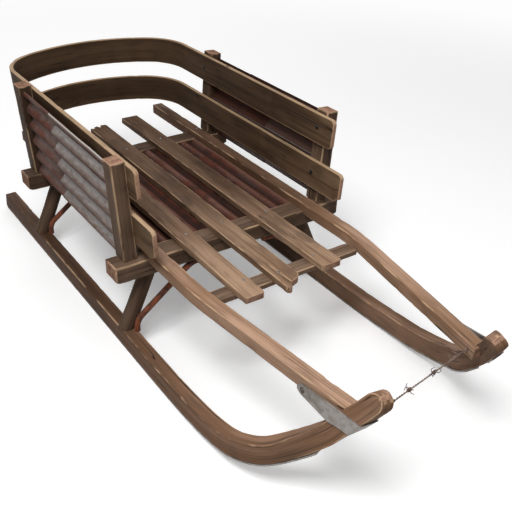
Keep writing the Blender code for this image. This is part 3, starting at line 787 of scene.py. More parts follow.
@dataclass
class Timber:
    """A sawn timber: square or cut to an outline, worn, checked and laid along its line."""

    node: str
    route: Route
    width: float
    height: float
    seed: int
    outline: list[tuple[float, float]] | None = None
    # How far it runs past the end of its line
    overrun: float = 0.0
    corner: float = 0.0022
    # Width of the band over which the wear fades from a corner, and its most on a narrow face
    margin: float = 0.0024
    margin_share: float = 0.3
    station: float = 0.010
    # How deep chips go, and how far the faces undulate
    chip: float = 0.003
    ripple: float = 0.0003
    # A face narrower than this is worn all over
    bare_below: float = 0.0
    reshape: Callable[[Vector], Vector] | None = None
    # Where the rings' middle is from the section's
    pith: tuple[float, float] = (0.06, -0.05)
    # A face that looks this much along the timber is a sawn end
    end_facing: float = 0.75

    def blank(self) -> bmesh.types.BMesh:
        """Saw the timber out in straight coordinates.

        Returns:
            The square or cut blank.
        """
        bm = bmesh.new()
        if self.outline is None:
            length = self.route.length + self.overrun
            bmesh.ops.create_cube(bm, size=1.0)
            bmesh.ops.scale(bm, vec=(self.width, length, self.height), verts=bm.verts)
            bmesh.ops.translate(bm, vec=(0.0, length / 2, 0.0), verts=bm.verts)
        else:
            corners = [bm.verts.new((x, y, -self.height / 2)) for x, y in self.outline]
            face = bm.faces.new(corners)
            grown = bmesh.ops.extrude_face_region(bm, geom=[face])
            raised = [item for item in grown["geom"] if isinstance(item, bmesh.types.BMVert)]
            bmesh.ops.translate(bm, vec=(0.0, 0.0, self.height), verts=raised)
            bmesh.ops.recalc_face_normals(bm, faces=bm.faces)
        return bm

    def wear(self, bm: bmesh.types.BMesh) -> None:
        """Round the corners, mark them worn, and let the wear fade in a band round each broad face.

        Args:
            bm: The blank.
        """
        # The wear mark sets the chips, and the pale corners that are partly a painted edge
        # highlight
        layer = bm.verts.layers.float.new("wear")
        sharp = [edge for edge in bm.edges if edge.calc_face_angle(0.0) > CORNER_ANGLE]
        rounded = bmesh.ops.bevel(
            bm, geom=sharp, offset=self.corner, offset_type="OFFSET", segments=2, profile=0.5,
            affect="EDGES", clamp_overlap=True, material=-1,
        )
        for vert in bm.verts:
            vert[layer] = 1.0
        worn_and_highlit = set(rounded["faces"])
        for face in [face for face in bm.faces if face not in worn_and_highlit]:
            across = min(edge.calc_length() for edge in face.edges)
            if across < self.bare_below:
                continue
            inset = min(self.margin, self.margin_share * across)
            bmesh.ops.inset_individual(bm, faces=[face], thickness=inset, depth=0.0)
            for vert in face.verts:
                vert[layer] = 0.0

    def divide(self, bm: bmesh.types.BMesh) -> None:
        """Cut the timber across at even stations, so that it can bend and take dents.

        Args:
            bm: The worn blank.
        """
        low = min(vert.co.y for vert in bm.verts)
        high = max(vert.co.y for vert in bm.verts)
        count = max(2, round((high - low) / self.station))
        for i in range(1, count):
            bmesh.ops.bisect_plane(
                bm, geom=bm.verts[:] + bm.edges[:] + bm.faces[:], dist=0.00002,
                plane_co=(0.0, low + (high - low) * i / count, 0.0), plane_no=(0.0, 1.0, 0.0),
            )

    def season(self, bm: bmesh.types.BMesh) -> None:
        """Knock chips out of the corners, let the faces undulate, and record the grain.

        Args:
            bm: The divided blank.
        """
        wear = bm.verts.layers.float["wear"]
        grain = bm.verts.layers.float_vector.new("grain")
        bm.normal_update()
        offset = Vector((self.seed * 3.1, self.seed * 1.7, self.seed * 2.3))
        moves = []
        for vert in bm.verts:
            along = vert.co.y + self.seed * GRAIN_STEP
            vert[grain] = (vert.co.x + self.pith[0], along, vert.co.z + self.pith[1])
            where = vert.co + offset
            # Long chips and, less deep, small nicks
            chips = max(0.0, grainwise_noise(where, 40, 26) - 0.30) * 1.6
            nicks = max(0.0, grainwise_noise(where, 80, 90) - 0.35) * 0.5
            depth = vert[wear] * self.chip * (chips + nicks)
            moves.append(vert.normal * (self.ripple * grainwise_noise(where, 30, 7) - depth))
        for vert, move in zip(bm.verts, moves):
            vert.co += move
        for face in bm.faces:
            if abs(face.normal.y) > self.end_facing:
                face.material_index = 1

    def build(self, slot: str, face: bpy.types.Material, end: bpy.types.Material) -> None:
        """Make the finished timber in place of its node.

        Args:
            slot: The record's material slot.
            face: Finish of the long faces.
            end: Finish of the sawn ends.
        """
        bm = self.blank()
        self.wear(bm)
        self.divide(bm)
        self.season(bm)
        if self.reshape:
            for vert in bm.verts:
                vert.co = self.reshape(vert.co)
        # Painted shade, darker towards the rear
        rear_shade = bm.verts.layers.float.new("rear_shade")
        for vert in bm.verts:
            vert.co = self.route.place(vert.co)
            vert[rear_shade] = rear_shading(vert.co)
        bmesh.ops.recalc_face_normals(bm, faces=bm.faces)
        smooth_where_blunt(bm)
        mount(finished_object(bm, self.node + "_worn", (face, end)), slot, self.node)


def smooth_line(knots: Sequence[Vector], steps: int) -> list[Vector]:
    """Find points on a Catmull-Rom curve through the knots.

    Args:
        knots: Points that the curve passes.
        steps: Points from each knot to the next.

    Returns:
        The curve's points.
    """
    padded = [2 * knots[0] - knots[1], *knots, 2 * knots[-1] - knots[-2]]
    line = []
    for before, start, end, after in zip(padded, padded[1:], padded[2:], padded[3:]):
        for step in range(steps):
            t = step / steps
            square = (2 * before - 5 * start + 4 * end - after) * t ** 2
            cube = (3 * start - before - 3 * end + after) * t ** 3
            line.append(0.5 * (2 * start + (end - before) * t + square + cube))
    line.append(knots[-1].copy())
    return line


def lean_x(z: float) -> float:
    """Outward shift of the leaning posts at a height."""
    return (z - BEAM_TOP_Z) * POST_LEAN


@dataclass
class Runners:
    """Two square runners that sweep up, turn inward and tilt towards their tips."""

    finishes: Finishes
    shift: float
    rear_y: float = 0.668
    # How far the rear end is cut back at its foot, and the length that this is taken from
    rear_rake: float = 0.012
    rake_length: float = 0.05
    tip_height: float = 0.048
    # Share of its width that the round tip loses, and least square of its share in height
    tip_pinch: float = 0.12
    tip_least: float = 0.05
    bend_steps: int = 6
    # y, distance inward of the left and of the right runner from its straight line, rise
    bend: tuple[tuple[float, float, float, float], ...] = (
        (-0.500, 0.0000, 0.0000, 0.0000),
        (-0.626, 0.0000, 0.0000, 0.0022),
        (-0.718, 0.0000, 0.0000, 0.0077),
        (-0.811, 0.0028, 0.0028, 0.0160),
        (-0.901, 0.0095, 0.0095, 0.0365),
        (-0.981, 0.0345, 0.0345, 0.0737),
        (-1.042, 0.0800, 0.0780, 0.1243),
        (-1.101, 0.1150, 0.1070, 0.1881),
        (-1.134, 0.1375, 0.1270, 0.2367),
        (-1.161, 0.1570, 0.1480, 0.2777),
        (-1.183, 0.1695, 0.1680, 0.3147),
    )
    # Heights between which a section turns from square to its line to square to the sled
    square_z: tuple[float, float] = (0.12, 0.29)
    # How much the outer edge of the tip is the higher one
    tip_tilt: float = 0.21

    def line(self, side: Side) -> list[Vector]:
        """Draw the centre line of a runner from its rear end to its tip.

        Args:
            side: The runner's side.

        Returns:
            The line's points.
        """
        height = RUNNER_HEIGHT / 2 + SHOE_THICKNESS + FIT
        column = 1 if side is Side.LEFT else 2
        knots = []
        for row in self.bend:
            x = side.value * (RUNNER_OFFSET - row[column])
            knots.append(Vector((x, row[0] + self.shift, height + row[3])))
        start = Vector((side.value * RUNNER_OFFSET, self.rear_y + self.shift, height))
        return [start, *smooth_line(knots, self.bend_steps)]

    def taper(self, route: Route) -> Callable[[Vector], Vector]:
        """Give the reshaping of the straight runner: raked rear end, tapered front, round tip.

        Args:
            route: The runner's line.

        Returns:
            A function that moves one point.
        """
        radius = self.tip_height / 2
        lift = [max(0.0, point.z - RUNNER_HEIGHT) for point in route.points]

        def reshape(local: Vector) -> Vector:
            """Taper one point.

            Args:
                local: The point in straight coordinates.

            Returns:
                Its new place there.
            """
            y = local.y
            if y < self.rake_length:
                y -= self.rear_rake * (0.5 - local.z / RUNNER_HEIGHT) * (1 - y / self.rake_length)
            i = 0
            while i < len(lift) - 2 and route.lengths[i + 1] < y:
                i += 1
            span = route.lengths[i + 1] - route.lengths[i]
            share = min(1.0, max(0.0, (y - route.lengths[i]) / span))
            rise = (lift[i] * (1 - share) + lift[i + 1] * share) / lift[-1]
            height = RUNNER_HEIGHT + (self.tip_height - RUNNER_HEIGHT) * rise
            past = max(0.0, y - route.length) / radius
            narrowed = height * math.sqrt(max(self.tip_least, 1 - min(1.0, past) ** 2))
            across = 1.0 - self.tip_pinch * past ** 2
            return Vector((local.x * across, y, local.z * narrowed / RUNNER_HEIGHT))

        return reshape

    def build(self) -> None:
        """Make both runners."""
        for side in Side:
            at_tip = Vector((-1, 0, -side.value * self.tip_tilt)).normalized()
            route = Route(self.line(side), turn=(*self.square_z, at_tip))
            timber = Timber(
                "runner_" + side.word, route, RUNNER_WIDTH, RUNNER_HEIGHT, seed=3 + side.value,
                overrun=self.tip_height / 2, corner=0.0026, station=0.007, chip=0.0035,
                reshape=self.taper(route),
            )
            timber.build("runner_timber", self.finishes.runner, self.finishes.end_grain)


@dataclass
class Shafts:
    """Long side rails over the deck, toeing in and dipping to the runners' tips."""

    finishes: Finishes
    shift: float
    rear_y: float = 0.618
    bend_y: float = -0.600
    bend_length: float = 0.120
    bend_steps: int = 6
    end_y: float = -1.140
    # How far it goes inward and down in a metre, past the bend
    toe_in: float = 0.140
    dip: float = 0.037

    def point(self, side: Side, y: float) -> Vector:
        """Find a point of a shaft's centre line.

        Args:
            side: The shaft's side.
            y: Place along the sled, before the shift.

        Returns:
            The point.
        """
        past = self.bend_y - y
        half = self.bend_length / 2
        if past <= -half:
            run = 0.0
        elif past < half:
            run = (past + half) ** 2 / (2 * self.bend_length)
        else:
            run = past
        x = side.value * (SHAFT_OFFSET - run * self.toe_in)
        return Vector((x, y + self.shift, SHAFT_TOP_Z - SHAFT_HEIGHT / 2 - run * self.dip))

    def build(self) -> None:
        """Make both shafts."""
        bend_start = self.bend_y + self.bend_length / 2
        stations = [self.rear_y, bend_start]
        for step in range(1, self.bend_steps + 1):
            stations.append(bend_start - self.bend_length * step / self.bend_steps)
        for side in Side:
            route = Route([self.point(side, y) for y in [*stations, self.end_y]])
            timber = Timber(
                "shaft_" + side.word, route, SHAFT_WIDTH, SHAFT_HEIGHT, seed=8 + side.value
            )
            timber.build("frame_timber", self.finishes.shaft, self.finishes.end_grain)


@dataclass
class Underframe:
    """Two beams, the crossbar and four round legs."""

    finishes: Finishes
    shift: float
    half_length: float = 0.393
    # Length of the cut at the beams' lower ends, and its rise as a share of that
    end_chamfer: float = 0.014
    chamfer_rise: float = 0.6
    leg_foot_radius: float = 0.024
    leg_top_radius: float = 0.0225
    leg_foot_x: float = 0.352
    leg_top_x: float = 0.270
    # The poles are a little knobbly
    leg_bulge: float = 0.05
    # Painted shade on the legs at the front, and what the painted rear shade adds to it
    leg_shade: tuple[float, float] = (0.3, 0.4)

    def build_beam(self, place: Place) -> None:
        """Make one beam with its chamfered lower ends.

        Args:
            place: The front or the rear beam.
        """
        y = place.value * POST_Y + BEAM_BEHIND_POST + self.shift
        z = BEAM_TOP_Z - BEAM_HEIGHT / 2
        route = Route([Vector((-self.half_length, y, z)), Vector((self.half_length, y, z))])
        length = route.length

        def chamfer(local: Vector) -> Vector:
            """Cut the lower corner of each end away.

            Args:
                local: A point in straight coordinates.

            Returns:
                Its new place there.
            """
            end = min(local.y, length - local.y)
            rise = self.chamfer_rise * self.end_chamfer * max(0.0, 1 - end / self.end_chamfer)
            return Vector((local.x, local.y, max(local.z, -BEAM_HEIGHT / 2 + rise)))

        timber = Timber(
            "beam_" + place.word, route, BEAM_DEPTH, BEAM_HEIGHT, seed=12 + place.value,
            corner=0.0035, reshape=chamfer,
        )
        timber.build("frame_timber", self.finishes.frame, self.finishes.end_grain)

    def build_crossbar(self) -> None:
        """Make the thin batten under the slats' front ends."""
        low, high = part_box("crossbar")
        y, z = (low.y + high.y) / 2, (low.z + high.z) / 2
        route = Route([Vector((low.x, y, z)), Vector((high.x, y, z))])
        timber = Timber("crossbar", route, high.y - low.y, high.z - low.z, seed=16, corner=0.0018)
        timber.build("frame_timber", self.finishes.frame, self.finishes.end_grain)

    def build_leg(self, side: Side, place: Place) -> None:
        """Make one round pole, splayed outward at its foot.

        Args:
            side: The leg's side.
            place: The front or the rear leg.
        """
        node = "leg_%s_%s" % (place.word, side.word)
        low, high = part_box(node)
        height = high.z - low.z
        bm = bmesh.new()
        bmesh.ops.create_cone(
            bm, cap_ends=True, segments=28, radius1=self.leg_foot_radius,
            radius2=self.leg_top_radius, depth=height,
        )
        uprights = [edge for edge in bm.edges if edge.calc_length() > height / 2]
        bmesh.ops.subdivide_edges(bm, edges=uprights, cuts=22, use_grid_fill=True)
        grain = bm.verts.layers.float_vector.new("grain")
        bm.verts.layers.float.new("wear")
        rear_shade = bm.verts.layers.float.new("rear_shade")
        seed = 20 + 2 * side.value + place.value
        middle_z = (low.z + high.z) / 2
        y = place.value * POST_Y + self.shift
        # A slanting pole's level section is longer across the sled
        stretch = math.hypot(1.0, (self.leg_foot_x - self.leg_top_x) / height)
        shade_level, more = self.leg_shade
        for vert in bm.verts:
            around = vert.co.copy()
            vert[grain] = (around.x, around.z + seed * GRAIN_STEP, around.y)
            knob = noise.noise(Vector((around.x * 30, around.y * 30, around.z * 14 + seed)))
            bulge = 1 + self.leg_bulge * knob
            share = around.z / height + 0.5
            middle_x = self.leg_foot_x + (self.leg_top_x - self.leg_foot_x) * share
            x = side.value * middle_x + around.x * bulge * stretch
            vert.co = Vector((x, y + around.y * bulge, around.z + middle_z))
            # Painted shade on the legs, deeper towards the rear
            vert[rear_shade] = shade_level + more * rear_shading(vert.co)
        smooth_where_blunt(bm)
        piece = finished_object(bm, node + "_pole", (self.finishes.frame,))
        mount(piece, "frame_timber", node)

    def build(self) -> None:
        """Make the whole underframe."""
        for place in Place:
            self.build_beam(place)
            for side in Side:
                self.build_leg(side, place)
        self.build_crossbar()


@dataclass
class Deck:
    """Three slats, the middle one split in front and ragged behind."""

    finishes: Finishes
    shift: float
    # How much is clipped off the front corners; the rear ones lose half of it
    clip: float = 0.005
    # node, x of the centre, width, rear end, front end
    slats: tuple[tuple[str, float, float, float, float], ...] = (
        ("slat_left", -0.154, 0.060, 0.530, -0.697),
        ("slat_centre", -0.030, 0.066, 0.530, -0.694),
        ("slat_right", 0.114, 0.066, 0.555, -0.682),
    )

    def plain_outline(self, half: float, length: float) -> list[tuple[float, float]]:
        """Draw the outline of a slat with clipped corners.

        Args:
            half: Half its width.
            length: Its length, from its front end at y = 0.

        Returns:
            The outline's x and y.
        """
        front, rear = self.clip, self.clip / 2
        return [
            (-half, front), (-half + front, 0.0), (half - front, 0.0), (half, front),
            (half, length - rear), (half - rear, length), (-half + rear, length),
            (-half, length - rear),
        ]

    def split_outline(self, half: float, length: float) -> list[tuple[float, float]]:
        """Draw the outline of the middle slat, split in front and broken behind.

        Args:
            half: Half its width.
            length: Its length, from its front end at about y = 0.

        Returns:
            The outline's x and y.
        """
        return [
            (-half, -0.014), (-half + 0.006, -0.022), (-half + 0.015, -0.020),
            (-half + 0.019, -0.004), (-half + 0.021, 0.110), (-half + 0.024, -0.002),
            (half - 0.012, 0.008), (half, 0.022),
            (half, length - 0.004), (half * 0.4, length + 0.002), (half * 0.1, length - 0.016),
            (-half * 0.1, length), (-half * 0.5, length - 0.006), (-half * 0.6, length - 0.020),
            (-half, length - 0.010),
        ]

    def build(self) -> None:
        """Make the slats."""
        z = BEAM_TOP_Z + FIT + SLAT_THICKNESS / 2
        for number, (node, x, width, rear, front) in enumerate(self.slats):
            length = rear - front
            shape = self.split_outline if node == "slat_centre" else self.plain_outline
            # The line runs towards the rear, so its sideways direction is +X
            route = Route([Vector((x, front + self.shift, z)), Vector((x, rear + self.shift, z))])
            timber = Timber(
                node, route, width, SLAT_THICKNESS, seed=30 + number, corner=0.0016,
                outline=shape(width / 2, length), pith=(0.02 - 0.03 * number, -0.09),
            )
            timber.build("deck_timber", self.finishes.deck, self.finishes.end_grain)


@dataclass
class Posts:
    """Four square posts that lean outward on the beams' ends."""

    finishes: Finishes
    shift: float
    # A square cut on a leaning post lifts its inner corner by this much
    lifted: float = 0.0013

    def build(self) -> None:
        """Make the posts."""
        heights = (BEAM_TOP_Z + FIT, POST_TOP_Z - self.lifted)
        for place in Place:
            for side in Side:
                node = "post_%s_%s" % (place.word, side.word)
                y = place.value * POST_Y + self.shift
                ends = [Vector((side.value * (POST_FOOT_X + lean_x(z)), y, z)) for z in heights]
                # Upright lines take +Y for upward, so the section's height is the post's depth
                timber = Timber(
                    node, Route(ends), POST_WIDTH, POST_DEPTH,
                    seed=40 + 2 * side.value + place.value, corner=0.003,
                    pith=(0.03 * side.value, 0.05),
                )
                timber.build("frame_timber", self.finishes.frame, self.finishes.end_grain)


@dataclass
class BowRails:
    """Two bent wooden bands inside the posts and round the rear."""

    finishes: Finishes
    shift: float
    height: float = 0.092
    # Arcs of this radius turn each corner, and one wider arc joins them behind
    corner_radius: float = 0.165
    corner_y: float = 0.484
    corner_turn: float = math.radians(62.0)
    corner_steps: int = 12
    back_steps: int = 8
    end_round: float = 0.014
    # Size of the splinters gone from the lower corners of the lower rail's ends
    split_length: float = 0.016
    split_depth: float = 0.013
    # node, height of the middle, front end
    rails: tuple[tuple[str, float, float], ...] = (
        ("bow_rail_upper", 0.541, -0.403),
        ("bow_rail_lower", 0.392, -0.468),
    )

    def plan(self, middle_z: float, front_y: float) -> list[Vector]:
        """Draw the middle line of a rail, from its front end at +X round to the one at -X.

        Args:
            middle_z: Height of the rail's middle.
            front_y: Place of its front ends, before the shift.

        Returns:
            The line's points.
        """
        turn = self.corner_turn
        offset = lean_x(middle_z) - FIT - RAIL_THICKNESS / 2
        side_x = POST_FOOT_X - POST_WIDTH / 2 + offset
        corner_x = side_x - self.corner_radius
        back_radius = self.corner_radius + corner_x / math.cos(turn)
        back_y = self.corner_y - corner_x * math.tan(turn)
        half = [Vector((side_x, front_y, 0.0))]
        for step in range(self.corner_steps + 1):
            angle = turn * step / self.corner_steps
            x = corner_x + self.corner_radius * math.cos(angle)
            half.append(Vector((x, self.corner_y + self.corner_radius * math.sin(angle), 0)))
        for step in range(1, self.back_steps + 1):
            angle = turn + (math.pi / 2 - turn) * step / self.back_steps
            x = back_radius * math.cos(angle)
            half.append(Vector((x, back_y + back_radius * math.sin(angle), 0)))
        mirrored = [Vector((-point.x, point.y, 0)) for point in reversed(half[:-1])]
        return [point + Vector((0, self.shift, middle_z)) for point in half + mirrored]

    def round_ends(self, length: float, split: bool) -> Callable[[Vector], Vector]:
        """Give the reshaping of a straight rail: round corners, and splinters gone from its ends.

        Args:
            length: The rail's length.
            split: Whether the splinters are gone.

        Returns:
            A function that moves one point.
        """
        half = self.height / 2

        def reshape(local: Vector) -> Vector:
            """Round one point.

            Args:
                local: The point in straight coordinates.

            Returns:
                Its new place there.
            """
            end = min(local.y, length - local.y)
            back = max(0.0, self.end_round - end) / self.end_round
            trim = self.end_round * (1 - math.sqrt(max(0.0, 1 - min(1.0, back) ** 2)))
            z = local.z * (half - trim) / half
            if split and end < self.split_length and z < self.split_depth - half:
                z = self.split_depth - half
            return Vector((local.x, local.y, z))

        return reshape

    def build(self) -> None:
        """Make both rails."""
        for number, (node, middle_z, front_y) in enumerate(self.rails):
            route = Route(self.plan(middle_z, front_y), roll=math.atan(POST_LEAN))
            timber = Timber(
                node, route, RAIL_THICKNESS, self.height, seed=50 + number, corner=0.0016,
                chip=0.002, bare_below=0.012, pith=(0.4, 0.02),
                reshape=self.round_ends(route.length, node == "bow_rail_lower"),
            )
            timber.build("rail_timber", self.finishes.rail, self.finishes.end_grain)


@dataclass
class Sheets:
    """Corrugated scrap sheets: a rusty and a grey one on each side, and one under the deck."""

    finishes: Finishes
    shift: float
    thickness: float = 0.002
    # Share of that thickness which shows, as old sheet is thin
    thinness: float = 0.6
    side_pitch: float = 0.0545
    side_wave: float = 0.008
    side_height: float = 0.282
    foot_gap: float = 0.003
    # How far the crests lie inside the posts' outer faces
    inset: float = 0.008
    # Where the grey sheets end over the rusty ones, at the foot and at the top
    seam_foot_y: float = 0.093
    seam_top_y: float = 0.097
    # How far the grey sheets' rear ends draw back in the troughs
    end_scallop: float = 0.010
    rear_front_y: float = -0.030
    floor_pitch: float = 0.050
    floor_wave: float = 0.006
    # Fall at the middle of the floor sheet's waves
    floor_fall: float = 0.35
    cells_along: int = 48
    cells_up: int = 112
    # Share of the sheared colour, painted pale as the edge's highlight, along the upper edge, and
    # the share of the height it starts at
    lip_bright: float = 0.9
    lip_from: float = 0.985
    dent: float = 0.0016

    def sheet(
        self, bend: Callable[[float, float], tuple[Vector, float]], seed: int, outward: Vector
    ) -> bmesh.types.BMesh:
        """Press a flat sheet to its waves and give it its thickness.

        Args:
            bend: Gives the place and the fall (0 high on a ridge's face, 1 in the trough under it)
                at shares of the sheet's length and height.
            seed: Number that sets the sheet's dents.
            outward: Direction that its outer face looks in.

        Returns:
            The sheet.
        """
        bm = bmesh.new()
        bmesh.ops.create_grid(
            bm, x_segments=self.cells_along, y_segments=self.cells_up, size=0.5
        )
        fall = bm.verts.layers.float.new("fall")
        lip = bm.verts.layers.float.new("lip")
        for vert in bm.verts:
            # The top rows take the painted edge highlight
            vert[lip] = self.lip_bright if vert.co.y + 0.5 > self.lip_from else 0.0
            place, vert[fall] = bend(vert.co.x + 0.5, vert.co.y + 0.5)
            # Dents about a hand wide
            knock = noise.noise(Vector((place.x * 9 + seed, place.y * 11, place.z * 14)))
            vert.co = place - outward * self.dent * max(0.0, knock)
        bmesh.ops.solidify(bm, geom=bm.faces[:], thickness=self.thickness * self.thinness)
        bmesh.ops.recalc_face_normals(bm, faces=bm.faces)
        # Only the cut edges stay crisp, not the waves
        smooth_where_blunt(bm, angle=1.0)
        return bm

    def build_side(self, side: Side, place: Place) -> None:
        """Make one sheet between the posts of a side, leaning with them.

        Args:
            side: The sheet's side.
            place: The grey front sheet or the rusty rear one.
        """
        end = POST_Y - POST_DEPTH / 2 - FIT
        middle_x = POST_FOOT_X + POST_WIDTH / 2 - self.inset - self.side_wave - self.thickness / 2
        # Front and rear ends, each at the foot and at the top
        if place is Place.FRONT:
            front, rear = (-end, -end), (self.seam_foot_y, self.seam_top_y)
            finish, slot, scallop = self.finishes.zinc, "galvanised_sheet", self.end_scallop
        else:
            front, rear = (self.rear_front_y, self.rear_front_y), (end, end)
            finish, slot, scallop = self.finishes.rusty_sheet, "rusty_sheet", 0.0
            middle_x = middle_x - self.thickness - FIT

        def bend(along: float, up: float) -> tuple[Vector, float]:
            """Find the place and the fall on the side sheet.

            Args:
                along: Share of its length.
                up: Share of its height.

            Returns:
                The place and the fall.
            """
            z = BEAM_TOP_Z + self.foot_gap + up * self.side_height
            turns = up * self.side_height / self.side_pitch
            fall = (0.5 - turns) % 1.0
            wave = math.cos(2 * math.pi * turns)
            start = front[0] + (front[1] - front[0]) * up
            drawn = scallop * (1 - math.sqrt(fall))
            y = start + (rear[0] + (rear[1] - rear[0]) * up - drawn - start) * along
            x = side.value * (middle_x + self.side_wave * wave + lean_x(z))
            return Vector((x, y + self.shift, z)), fall

        node = "side_sheet_%s_%s" % (place.word, side.word)
        outward = Vector((side.value, 0, 0))
        bm = self.sheet(bend, 2 * side.value + place.value, outward)
        # The inner faces never dried out and have rusted
        for face in bm.faces:
            face.material_index = int(face.normal.dot(outward) < -0.2)
        piece = finished_object(bm, node + "_pressed", (finish, self.finishes.rusty_sheet))
        mount(piece, slot, node)

    def build_floor(self) -> None:
        """Make the sheet under the deck, its waves running along the sled."""
        low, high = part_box("floor_sheet")
        middle_z = (low.z + high.z) / 2

        def bend(along: float, across: float) -> tuple[Vector, float]:
            """Find the place and the fall on the floor sheet.

            Args:
                along: Share of its length, along the sled.
                across: Share of its width.

            Returns:
                The place and the fall.
            """
            x = low.x + (high.x - low.x) * across
            wave = math.cos(2 * math.pi * (x - low.x) / self.floor_pitch)
            place = Vector((x, low.y + (high.y - low.y) * along, middle_z + self.floor_wave * wave))
            return place, self.floor_fall - self.floor_fall * wave

        bm = self.sheet(bend, 9, Vector((0, 0, 1)))
        piece = finished_object(bm, "floor_sheet_pressed", (self.finishes.floor_sheet,))
        mount(piece, "rusty_sheet", "floor_sheet")

    def build(self) -> None:
        """Make all five sheets."""
        for side in Side:
            for place in Place:
                self.build_side(side, place)
        self.build_floor()


@dataclass
class Fasteners:
    """Nails in the deck, bolts through the rails, and rivets with washers in the straps."""

    finishes: Finishes
    shift: float
    nail_radius: float = 0.0045
    nail_height: float = 0.0016
    nail_sunk: float = 0.0004
    # The nails' heads are not quite level
    nail_normal: tuple[float, float, float] = (0.1, -0.05, 1.0)
    # Nails through the slats into the beams and the crossbar, and down through the shafts: x, y
    slat_nails: tuple[tuple[float, float], ...] = (
        (-0.140, -0.622), (-0.041, -0.640), (0.090, -0.624),
        (-0.030, 0.286), (0.119, 0.307), (-0.168, 0.300),
        (-0.150, -0.338), (-0.022, -0.330), (0.128, -0.344),
    )
    shaft_nails: tuple[tuple[float, float], ...] = (
        (0.279, 0.316), (0.276, -0.330), (-0.274, 0.322), (-0.277, -0.336),
    )
    bolt_radius: float = 0.0070
    bolt_height: float = 0.0030
    # Heights of the bolts in the upper and in the lower rail
    bolt_z: tuple[float, float] = (0.545, 0.398)
    washer_radius: float = 0.0082
    washer_height: float = 0.0010
    rivet_radius: float = 0.0045
    rivet_height: float = 0.0022
    # Where the rivets are: their height, how far in front of the strap's rear end they sit, how
    # far out of the washer's seat, and a place beside the sled from which the strap is found
    rivet_z: float = 0.270
    rivet_ahead: float = 0.0165
    rivet_raised: float = 0.0006
    beside_x: float = 0.6

    def head(
        self, bm: bmesh.types.BMesh, place: Vector, normal: Vector, radius: float, height: float
    ) -> None:
        """Add one domed head to a mesh.

        Args:
            bm: The mesh that takes it.
            place: The middle of its seat.
            normal: The direction that it stands out in.
            radius: Its radius.
            height: How far it stands out.
        """
        turned = normal.to_track_quat("Z", "Y").to_matrix().to_4x4()
        flattened = Matrix.Diagonal((1.0, 1.0, height / radius, 1.0))
        made = bmesh.ops.create_uvsphere(
            bm, u_segments=20, v_segments=10, radius=radius,
            matrix=Matrix.Translation(place) @ turned @ flattened,
        )
        for vert in made["verts"]:
            for face in vert.link_faces:
                face.smooth = True

    def build_nails(self) -> None:
        """Make the nails' heads, flush in the slats and the shafts."""
        bm = bmesh.new()
        slat_top_z = BEAM_TOP_Z + FIT + SLAT_THICKNESS
        normal = Vector(self.nail_normal)
        for table, z in ((self.slat_nails, slat_top_z), (self.shaft_nails, SHAFT_TOP_Z)):
            for x, y in table:
                seat = Vector((x, y + self.shift, z - self.nail_sunk))
                self.head(bm, seat, normal, self.nail_radius, self.nail_height)
        mount(finished_object(bm, "deck_nails", (self.finishes.nail,)), "steel_strip")

    def build_bolts(self) -> None:
        """Make the bolts' domed heads on the rails' inner faces, one in each rail at each post."""
        bm = bmesh.new()
        for side in Side:
            for place in Place:
                for z in self.bolt_z:
                    x = POST_FOOT_X - POST_WIDTH / 2 + lean_x(z) - FIT - RAIL_THICKNESS
                    seat = Vector((side.value * x, place.value * POST_Y + self.shift, z))
                    inward = Vector((-side.value, 0, 0))
                    self.head(bm, seat, inward, self.bolt_radius, self.bolt_height)
        mount(finished_object(bm, "rail_bolts", (self.finishes.bolt,)), "rusty_rod")

    def build_rivets(self) -> None:
        """Make the rivet and its washer on each strap's rear end."""
        bm = bmesh.new()
        for side in Side:
            node = bpy.data.objects["tip_strap_" + side.word]
            strap = bmesh.new()
            strap.from_mesh(node.data)
            strap.transform(node.matrix_world)
            rear_y = max(vert.co.y for vert in strap.verts)
            start = Vector((side.value * self.beside_x, rear_y - self.rivet_ahead, self.rivet_z))
            inward = Vector((-side.value, 0, 0))
            seat, normal, _, _ = BVHTree.FromBMesh(strap).ray_cast(start, inward)
            strap.free()
            self.head(bm, seat, normal, self.washer_radius, self.washer_height)
            raised = seat + normal * self.rivet_raised
            self.head(bm, raised, normal, self.rivet_radius, self.rivet_height)
        mount(finished_object(bm, "strap_rivets", (self.finishes.rivet,)), "steel_strip")

    def build(self) -> None:
        """Make every fastener."""
        self.build_nails()
        self.build_bolts()
        self.build_rivets()


